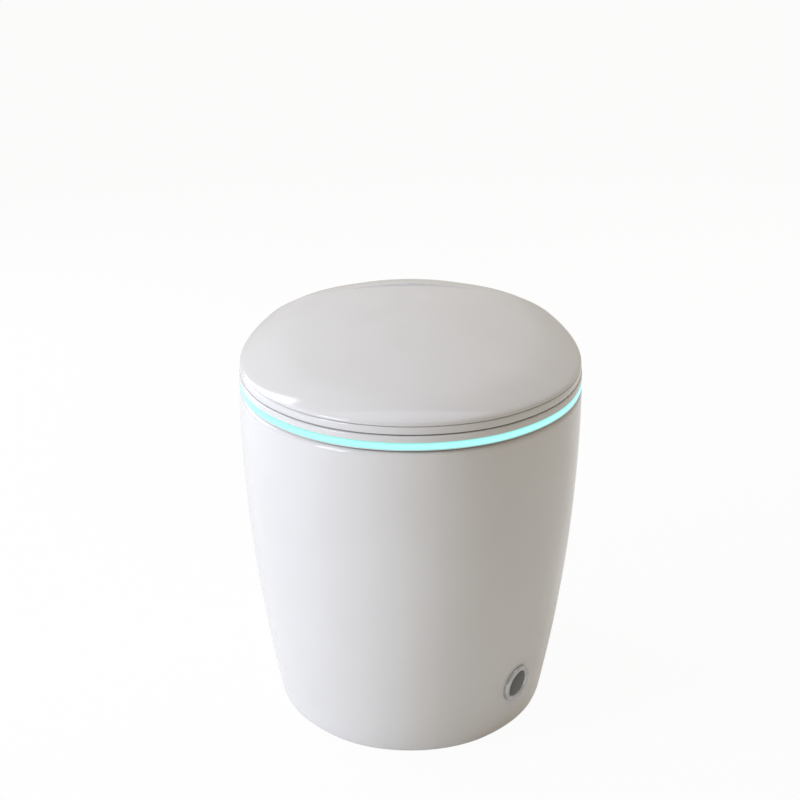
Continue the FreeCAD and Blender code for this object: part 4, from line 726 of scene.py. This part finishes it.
def pedestal_skin():
    """Outer face, rim and bowl of the pedestal in one glazed skin."""
    foot = flare(0)
    skin = Loft(outline(foot + CERAMIC_WALL, 2 * FOOT_EDGE_RADIUS))
    skin.around([(foot + CERAMIC_WALL, 0.0), (foot + FOOT_EDGE_RADIUS, 0.0)])
    for rise, draw in rolled(4):
        z = FOOT_EDGE_RADIUS * draw
        skin.add(outline(flare(z) + FOOT_EDGE_RADIUS * (1 - rise), z))
    upright = BODY_TOP - TOP_EDGE_RADIUS
    for row in range(1, SKIRT_ROWS + 1):
        z = FOOT_EDGE_RADIUS + (upright - FOOT_EDGE_RADIUS) * row / SKIRT_ROWS
        skin.add(outline(flare(z), z))
    skin.around(upper_edge(flare(upright), BODY_TOP, TOP_EDGE_RADIUS, 8))
    skin.add(outline(CERAMIC_WALL, BODY_TOP))
    rim = BOWL_RIM_RADIUS
    skin.inside(bowl_level(BODY_TOP), [(rim, BODY_TOP)] + hole_edge(0.0, BODY_TOP, rim, rim, 5))
    start, bottom = BODY_TOP - rim, BOWL_LEVELS[-1][0]
    for row in range(1, BOWL_ROWS + 1):
        z = start + (bottom - start) * row / BOWL_ROWS
        skin.add(oval(bowl_level(z), 0.0, z))
    sump = bowl_level(bottom)
    skin.inside(sump, [(-0.5 * sump[0] * draw, bottom - SUMP_DEPTH * rise) for rise, draw in rolled(4)])
    skin.pole(lambda x, y: bottom - SUMP_DEPTH)
    mesh = skin.mesh
    split(mesh, "x", -NOTCH_HALF, NOTCH_HALF)
    split(mesh, "z", NOTCH_Z)
    split(mesh, "y", BAY_FRONT_Y)
    split(mesh, "x", -ARCH_HALF, ARCH_HALF)
    split(mesh, "z", ARCH_TOP)
    drop(mesh, lambda p: abs(p.x) < NOTCH_HALF and p.z > NOTCH_Z
         and NOTCH_FRONT_Y < p.y < BAY_FRONT_Y + CUT_MARGIN)
    drop(mesh, lambda p: p.y > BAY_FRONT_Y and p.z > BODY_TOP - ABOVE and inset_of(p) > CERAMIC_WALL)
    drop(mesh, lambda p: abs(p.x) < ARCH_HALF and p.z < ARCH_TOP and p.y > ARCH_FRONT_Y)
    register(mesh, "ceramic_skin", "base", "ceramic", ("pedestal",))


def pedestal_core():
    """Hidden faces of the casting: inside of the skirt, back of the bowl, trapway and bay."""
    face_margin = 0.004         # inside the skirt's face
    end_margin = 0.001          # from the top and from the foot
    bowl_margin = 1.035         # of the bowl's half width and half length
    bowl_bottom = 0.090
    mesh = merged_node("pedestal")

    def glazed(point):
        if not end_margin <= point.z <= BODY_TOP - end_margin:
            return True
        if inset_of(point) < flare(point.z) + face_margin:
            return True
        half, front, rear = bowl_level(point.z)
        reach = math.hypot(point.x / half, (point.y - (front + rear) / 2) / ((rear - front) / 2))
        return point.z > bowl_bottom and reach < bowl_margin

    drop(mesh, glazed)
    loose = [vert for vert in mesh.verts if not vert.link_faces]
    bmesh.ops.delete(mesh, geom=loose, context="VERTS")
    register(mesh, "ceramic_core", "base", "ceramic")


# ---- rings -----------------------------------------------------------------------------------------
def lit_ring():
    """Lit diffuser: a slim band with two rounded outer edges."""
    skin = Loft(outline(LIGHT_DEPTH, LIGHT_Z))
    skin.add(outline(LIGHT_EDGE, LIGHT_Z))
    skin.around([(LIGHT_EDGE * (1 - rise), LIGHT_Z + LIGHT_EDGE * draw) for rise, draw in rolled(4)])
    skin.around([(0.0, LIGHT_TOP - LIGHT_EDGE)] + upper_edge(0.0, LIGHT_TOP, LIGHT_EDGE, 4))
    skin.add(outline(LIGHT_DEPTH, LIGHT_TOP))
    skin.close()
    register(skin.mesh, "lit_ring", "base", "light", ("light_ring",))


def casing():
    """White deck: a slim rolled edge, a flat top and an oval opening over the bowl."""
    hole = bowl_level(BODY_TOP)
    reach, edge = DECK_HOLE_REACH, DECK_HOLE_EDGE
    skin = Loft(outline(CASING_INSET + CASING_RETURN, CASING_Z))
    skin.around([(CASING_INSET + CASING_EASE, CASING_Z), (CASING_INSET, CASING_Z + CASING_EASE),
                 (CASING_INSET, CASING_TOP - CASING_EDGE)])
    skin.around(upper_edge(CASING_INSET, CASING_TOP, CASING_EDGE, 7))
    skin.inside(hole, [(reach + edge, CASING_TOP)] + hole_edge(reach, CASING_TOP, edge, edge, 4))
    skin.inside(hole, [(reach, BODY_TOP + JOINT_GAP)])
    skin.close()
    mesh = skin.mesh
    tray_low, tray_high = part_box("service_tray")
    fascia_low, fascia_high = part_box("nozzle_fascia")
    split(mesh, "x", tray_low.x, tray_high.x, fascia_low.x, fascia_high.x)
    split(mesh, "y", tray_low.y, tray_high.y)
    drop(mesh, lambda p: tray_low.x < p.x < tray_high.x and tray_low.y < p.y < tray_high.y
         and inset_of(p) > CERAMIC_WALL + DECK_TRAY_BORDER)
    drop(mesh, lambda p: fascia_low.x < p.x < fascia_high.x
         and NOTCH_FRONT_Y < p.y < tray_low.y + CUT_MARGIN)
    register(mesh, "deck", "base", "white_gloss", ("top_casing",))


# ---- seat ------------------------------------------------------------------------------------------
def side_plate(mesh, profile, x_low, x_high, ease):
    """Plate along X with a YZ profile and eased edges, added to a mesh."""
    verts = [mesh.verts.new((x_low, y, z)) for y, z in profile]
    face = mesh.faces.new(verts)
    made = bmesh.ops.extrude_face_region(mesh, geom=[face])
    moved = of_kind(made["geom"], bmesh.types.BMVert)
    bmesh.ops.translate(mesh, verts=moved, vec=(x_high - x_low, 0, 0))
    ease_edges(mesh, list({edge for vert in verts + moved for edge in vert.link_edges}), ease)


def hub(mesh, x_low, x_high):
    """Round hub on the hinge line with eased ends."""
    middle = Matrix.Translation(((x_low + x_high) / 2, HINGE.y, HINGE.z))
    made = bmesh.ops.create_cone(mesh, cap_ends=True, segments=48, radius1=HUB_RADIUS,
                                 radius2=HUB_RADIUS, depth=x_high - x_low,
                                 matrix=middle @ Matrix.Rotation(math.pi / 2, 4, "Y"))
    ends = {edge for vert in made["verts"] for edge in vert.link_edges
            if abs(edge.verts[0].co.x - edge.verts[1].co.x) < NEAR}
    ease_edges(mesh, list(ends), HUB_EASE)


def hinge_ears(mesh, profile, x, ease):
    """An ear on each side: a plate with a YZ profile, and a hub on the hinge line."""
    for side in (-1, 1):
        ends = sorted((side * x, side * (x + EAR_WIDTH)))
        side_plate(mesh, profile, *ends, ease)
        hub(mesh, *ends)


def seat():
    """Contoured upper shell of the seat, with its hinge ears."""
    wall_in = SEAT_INSET + SEAT_SKIN
    crest_foot = SEAT_EDGE_TOP + CREST_START
    skin = Loft(outline(wall_in, SEAT_SHELF))
    foot, middle = SEAT_FOOT
    skin.around([(wall_in, SEAT_Z), (SEAT_INSET + foot, SEAT_Z), (SEAT_INSET + middle, SEAT_Z + middle),
                 (SEAT_INSET, SEAT_Z + foot), (SEAT_INSET, SEAT_EDGE_TOP - SEAT_EDGE)])
    skin.around(upper_edge(SEAT_INSET, SEAT_EDGE_TOP, SEAT_EDGE, 7))
    outer = outline(SEAT_INSET + CREST_INSET, 0.0)
    inner = oval(SEAT_HOLE, SEAT_LIP[0], 0.0)
    for row in range(SEAT_ROWS + 1):
        share = row / SEAT_ROWS
        swell = SEAT_CREST * math.sin(math.pi * share) ** CREST_FULLNESS
        skin.add(between(outer, inner, share, crest_foot + swell))
    skin.inside(SEAT_HOLE, hole_edge(0.0, crest_foot, *SEAT_LIP, 6))
    skin.inside(SEAT_HOLE, [(0.0, SEAT_Z + SEAT_CHAMFER), (SEAT_CHAMFER, SEAT_Z), (SEAT_SKIN, SEAT_Z),
                            (SEAT_SKIN, SEAT_SHELF)])
    skin.close()
    mesh = skin.mesh
    cut = cut_away(mesh, (0, HINGE.y, 0), (0, 1, 0))
    curtain(mesh, above(cut, SEAT_SHELF + ABOVE), SEAT_Z)
    split(mesh, "x", -SEAT_EAR_X, SEAT_EAR_X)
    split(mesh, "y", SEAT_NOTCH_Y)
    drop(mesh, lambda p: abs(p.x) < SEAT_EAR_X and p.y > SEAT_NOTCH_Y)
    curtain(mesh, above(rims(mesh), SEAT_SHELF + ABOVE), SEAT_Z)
    hub_front, hub_foot = HINGE.y - HUB_RADIUS, HINGE.z - HUB_RADIUS
    arm_front, arm_foot = HINGE.y - SEAT_ARM, SEAT_Z + 0.003
    arm = [(hub_front + 0.0003, HINGE.z + 0.002), (hub_front + 0.001, HINGE.z - 0.006),
           (HINGE.y + 0.002, hub_foot + 0.0003), (HINGE.y, arm_foot), (arm_front, arm_foot),
           (arm_front, SEAT_Z + 0.010), (HINGE.y - 0.030, SEAT_Z + 0.0165)]
    hinge_ears(mesh, arm, SEAT_EAR_X, 0.0012)
    register(mesh, "seat_shell", "seat", "white_gloss", ("seat_upper",))


# ---- lid -------------------------------------------------------------------------------------------
def lid():
    """Domed lid whose rear rolls down about the hinge line."""
    mesh = dome(LID_INSET, crown(LID_TOP, LID_RADII), LID_Z, LID_LIP)
    split(mesh, "z", HINGE.z)
    cut_away(mesh, HINGE, (0, 1, 0))
    rear = [edge for edge in above(rims(mesh), HINGE.z - NEAR)
            if all(abs(vert.co.y - HINGE.y) < NEAR for vert in edge.verts)]
    ends = list({vert for edge in rear for vert in edge.verts})
    bmesh.ops.spin(mesh, geom=rear + ends, cent=HINGE, axis=(1, 0, 0),
                   angle=-math.radians(KNUCKLE_TURN), steps=16)
    piece = register(mesh, "lid_dome", "lid", "white_gloss", ("lid_shell",))
    modify(piece, "SOLIDIFY", thickness=LID_WALL, offset=-1.0, use_even_offset=True)


def lid_ears():
    """The lid's two hinge ears, under its rear."""
    mesh = bmesh.new()
    under = crown(LID_TOP - 0.6 * LID_WALL, LID_RADII)
    outer_x = LID_EAR_X + EAR_WIDTH
    arm_front = HINGE.y - LID_ARM
    web = [(arm_front, HINGE.z + 0.012), (HINGE.y - 0.030, HINGE.z + 0.004),
           (HINGE.y - HUB_RADIUS + 0.001, HINGE.z - 0.004), (HINGE.y, HINGE.z - 0.006),
           (HINGE.y, under(outer_x, HINGE.y)), (arm_front, under(outer_x, arm_front))]
    hinge_ears(mesh, web, LID_EAR_X, 0.0010)
    register(mesh, "lid_ears", "lid", "white_gloss")


def lid_inner_panel():
    """Inner panel of the lid, slightly crowned."""
    height = crown(PANEL_TOP - PANEL_THICKNESS, PANEL_RADII)
    inset = LID_INSET + PANEL_GAP
    skin = Loft(outline(inset, height))
    skin.around([(inset + draw, height) for draw in PANEL_DRAWS])
    skin.crown(inset + PANEL_DRAWS[-1], (0.3, 0.6), height)
    mesh = skin.mesh
    cut_away(mesh, (0, PANEL_REAR_Y, 0), (0, 1, 0))
    piece = register(mesh, "lid_inner_panel", "lid", "white_gloss", ("lid_panel",))
    modify(piece, "SOLIDIFY", thickness=PANEL_THICKNESS, offset=-1.0)
    modify(piece, "BEVEL", width=0.0006, segments=2, limit_method="ANGLE")


# ---- rear cover ------------------------------------------------------------------------------------
def cover():
    """Fixed rear cover: shoulders that carry on the lid's sides, and a brow in the middle."""
    shoulder = crown(SHOULDER_TOP, SHOULDER_RADII)
    brow = crown(BROW_TOP, BROW_RADII)

    def height(x, y):
        """The higher of shoulder and brow, with a soft change from one to the other."""
        low = shoulder(x, y)
        rise = brow(x, y) - low
        if abs(x) > BROW_HALF:
            rise = min(rise, 0.0)
        return low + 0.5 * (rise + math.sqrt(rise ** 2 + BROW_BLEND ** 2)) - 0.5 * BROW_BLEND

    front = HINGE.y + COVER_GAP
    mesh = dome(COVER_INSET, height, CASING_TOP, COVER_LIP)
    cut_away(mesh, (0, front, 0), (0, -1, 0))
    # The front edge bows backwards to clear the lid's rolled rear, and the outline stays.
    for vert in mesh.verts:
        x, y = vert.co.x, vert.co.y
        bow = max(LID_TOP - HINGE.z - x ** 2 / (2 * LID_RADII[0]), 0.0)
        share = min(max((y - front) / max(rear_y(x) - front, NEAR), 0.0), 1.0)
        moved = y + bow * (1 - share)
        if vert.co.z > LIP_TOP:
            rise = (vert.co.z - LIP_TOP) / (height(x, y) - LIP_TOP)
            vert.co.z += (height(x, moved) - height(x, y)) * rise
        vert.co.y = moved
    made = bmesh.ops.extrude_edge_only(mesh, edges=above(rims(mesh), CASING_TOP + COVER_LIP / 2))
    for vert in of_kind(made["geom"], bmesh.types.BMVert):
        vert.co.y -= max(vert.co.z - HINGE.z, 0.0) * math.tan(math.radians(COVER_LEAN))
        vert.co.z = min(vert.co.z, HINGE.z)
    curtain(mesh, of_kind(made["geom"], bmesh.types.BMEdge), CASING_TOP)
    piece = register(mesh, "service_cover", "base", "white_gloss", ("rear_cover",), COVER_SHARP)
    modify(piece, "SOLIDIFY", thickness=COVER_WALL, offset=-1.0)
    modify(piece, "BEVEL", width=0.0012, segments=3, limit_method="ANGLE",
           angle_limit=math.radians(35))


# ---- foot sensor and caps --------------------------------------------------------------------------
def sensor_frame():
    """Matrix that stands +Z on the skin at the foot sensor."""
    angle = math.radians(SENSOR_TURN)
    (centre_x, centre_y), radius, _, _ = next(arc for arc in FRONT_ARCS if angle <= arc[3])
    reach = radius - flare(SENSOR_Z)
    place = Vector((centre_x + reach * math.cos(angle),
                    WIDEST_Y - centre_y - reach * math.sin(angle), SENSOR_Z))
    slope = 2 * FOOT_INSET * (FLARE_HEIGHT - SENSOR_Z) / FLARE_HEIGHT ** 2
    normal = Vector((math.cos(angle), -math.sin(angle), -slope)).normalized()
    return Matrix.Translation(place) @ normal.to_track_quat("Z", "Y").to_matrix().to_4x4()


def turned(profile, place, name, slot, node, steps=72):
    """Revolve a profile of radius and height pairs about Z, then put it in place."""
    mesh = bmesh.new()
    verts = [mesh.verts.new((radius, 0, z)) for radius, z in profile]
    edges = [mesh.edges.new(pair) for pair in zip(verts, verts[1:])]
    bmesh.ops.spin(mesh, geom=verts + edges, cent=(0, 0, 0), axis=(0, 0, 1), angle=2 * math.pi,
                   steps=steps, use_merge=True)
    bmesh.ops.remove_doubles(mesh, verts=mesh.verts, dist=LOOP_MERGE)
    bmesh.ops.transform(mesh, matrix=place, verts=mesh.verts)
    register(mesh, name, "base", slot, (node,))


def rounded_rim(radius, top, edge, steps):
    """Radius and height pairs round the rim of a turned piece, from its side to its face."""
    return [(radius - inset, z) for inset, z in upper_edge(0.0, top, edge, steps)]


def foot_sensor():
    """Chrome bezel with a rolled rim and a barrel, and the slightly domed window in it."""
    place = sensor_frame()
    throat = WINDOW_RADIUS + 0.0012
    pocket = WINDOW_RADIUS + 0.0001
    bore = WINDOW_RADIUS - 0.0015
    bezel = [(BEZEL_RADIUS, BEZEL_BACK), (BEZEL_RADIUS, BEZEL_PROUD - BEZEL_EDGE)]
    bezel += rounded_rim(BEZEL_RADIUS, BEZEL_PROUD, BEZEL_EDGE, 7)
    bezel += [(throat + 0.0012, BEZEL_PROUD), (throat + 0.0004, BEZEL_PROUD - 0.0004),
              (throat, BEZEL_PROUD - 0.0012), (pocket, BEZEL_PROUD - 0.0020), (pocket, WINDOW_BACK),
              (bore, WINDOW_BACK), (bore, BARREL_END), (BARREL_RADIUS, BARREL_END),
              (BARREL_RADIUS, BEZEL_BACK), (BEZEL_RADIUS, BEZEL_BACK)]
    turned(bezel, place, "sensor_bezel", "chrome", "foot_sensor_bezel")
    window = [(0.0, WINDOW_BACK), (WINDOW_RADIUS, WINDOW_BACK), (WINDOW_RADIUS, 0.0019),
              (WINDOW_RADIUS - 0.0004, 0.0023), (0.012, 0.0026), (0.006, 0.00268), (0.0, 0.0027)]
    turned(window, place, "sensor_window", "lens_dark", "foot_sensor_window")


def screw_caps():
    """Soft-edged caps over the side screws."""
    low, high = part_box("side_caps")
    radius = (high.y - low.y) / 2
    profile = [(radius, -CAP_DEPTH), (radius, -CAP_EDGE)]
    profile += rounded_rim(radius, 0.0, CAP_EDGE, 6) + [(0.0, 0.0)]
    for side, name in ((-1, "left"), (1, "right")):
        middle = Matrix.Translation((side * high.x, (low.y + high.y) / 2, (low.z + high.z) / 2))
        place = middle @ Matrix.Rotation(side * math.pi / 2, 4, "Y")
        turned(profile, place, "screw_cap_" + name, "white_gloss", "side_caps", 48)


# ---- light, floor and camera -----------------------------------------------------------------------
CAMERA_PLACE = (0.0, -2.3637, 1.1039)
CAMERA_PITCH = 17.45            # degrees down
CAMERA_LENS = 88.0              # millimetres
CAMERA_SENSOR = 36.0
CAMERA_SHIFT = -0.01325         # the object's middle stands right of the picture's middle
LAMP_TARGET = Vector((0, 0, 0.3))
# name, place, width and height, watts, colour, whether it shows in gloss
LAMPS = (("window", (-2.2, -1.25, 1.4), (1.2, 1.6), 45, (0.79, 0.85, 1.0), True),
         ("ceiling", (0.0, 0.2, 3.0), (2.4, 2.4), 19, (0.79, 0.83, 1.0), True),
         ("left_rear", (-1.8, 1.6, 1.5), (1.4, 1.6), 27, (0.88, 0.93, 1.0), True),
         ("back", (1.6, 2.6, 1.6), (1.6, 1.6), 12, (1.0, 0.97, 0.93), False))
ROOM_COLOUR = (1.0, 0.87, 0.66, 1)
ROOM_STRENGTH = 0.325
WHITE = (1, 1, 1, 1)
MIRRORED_WHITE = 0.30           # share of the white background that gloss and metal show
FLOOR_HALF = 9.0
FLOOR_Z = -0.0004               # just under the foot
FLOOR_WHITE = (0.90, 0.90, 0.90)
FLOOR_GLOW = 0.95               # how white the floor is to the camera beside the object
FLOOR_SHADE = (0.155, 0.235)    # half width and half length of the shaded ellipse under the foot


def camera():
    """Camera at the photograph's angle."""
    data = bpy.data.cameras.new("camera")
    data.lens = CAMERA_LENS
    data.sensor_width = CAMERA_SENSOR
    data.shift_x = CAMERA_SHIFT
    made = bpy.data.objects.new("camera", data)
    made.location = CAMERA_PLACE
    made.rotation_euler = (math.radians(90 - CAMERA_PITCH), 0, 0)
    bpy.context.scene.collection.objects.link(made)
    bpy.context.scene.camera = made


def lamp(name, place, size, power, colour, mirrored):
    """Soft box that faces the object."""
    data = bpy.data.lights.new(name, "AREA")
    data.shape = "RECTANGLE"
    data.size, data.size_y = size
    data.energy = power
    data.color = colour
    made = bpy.data.objects.new(name, data)
    made.visible_glossy = mirrored
    made.location = place
    made.rotation_euler = (LAMP_TARGET - Vector(place)).to_track_quat("-Z", "Y").to_euler()
    bpy.context.scene.collection.objects.link(made)


def studio():
    """Soft lamps in a warm, dim room that looks white to the camera."""
    bpy.context.scene.view_settings.view_transform = "Standard"
    for settings in LAMPS:
        lamp(*settings)
    world = bpy.data.worlds.new("studio")
    bpy.context.scene.world = world
    world.use_nodes = True
    tree = Tree(world.node_tree)
    nodes = world.node_tree.nodes
    room = nodes["Background"]
    tree.fill(room.inputs["Color"], ROOM_COLOUR)
    tree.fill(room.inputs["Strength"], ROOM_STRENGTH)
    white = tree.node("ShaderNodeBackground", {}, WHITE, 1.0)
    seen = tree.node("ShaderNodeMixShader", {}, tree.white_rays(), room.outputs[0], white)
    tree.fill(nodes["World Output"].inputs["Surface"], seen)


def floor():
    """Plain white floor: a soft shadow beside the object, and a full one under it."""
    mesh = bmesh.new()
    bmesh.ops.create_grid(mesh, x_segments=1, y_segments=1, size=FLOOR_HALF)
    data = bpy.data.meshes.new("floor")
    mesh.to_mesh(data)
    mesh.free()
    made = bpy.data.objects.new("floor", data)
    made.location.z = FLOOR_Z
    bpy.context.scene.collection.objects.link(made)
    s = Shader("floor_white")
    s.finish(Base_Color=FLOOR_WHITE, Roughness=0.9)
    across, along = (s.node("ShaderNodeSeparateXYZ", {}, s.place, output=axis) * (1 / reach)
                     for axis, reach in enumerate(FLOOR_SHADE))
    beside = (across * across + along * along) > 1.0
    glow = s.node("ShaderNodeEmission", {}, WHITE)
    mixed = s.node("ShaderNodeMixShader", {}, s.white_rays() * FLOOR_GLOW * beside,
                   s.principled.outputs[0], glow)
    s.fill(s.tree.nodes["Material Output"].inputs["Surface"], mixed)
    data.materials.append(s.material)


# ---- the whole object ------------------------------------------------------------------------------
# nodes whose own shape is right and that show, at rest or with the lid and seat up
SMOOTHED = ("shadow_gasket", "light_rail", "service_tray", "nozzle_fascia", "wash_wand", "wand_tip",
            "dryer_flap", "hinge_bridge", "seat_base", "seat_bumpers", "seat_shaft", "lid_shaft",
            "seat_damper", "lid_damper", "floor_brackets", "outlet_seal")

for node, shape in frame["nodes"].items():
    shape.data.materials.clear()
    shape.data.materials.append(FINISHES[SLOT_OF[node]])

pedestal_skin()
pedestal_core()
lit_ring()
casing()
seat()
lid()
lid_ears()
lid_inner_panel()
cover()
foot_sensor()
screw_caps()
for node in SMOOTHED:
    smoothed_node(node)
camera()
studio()
floor()
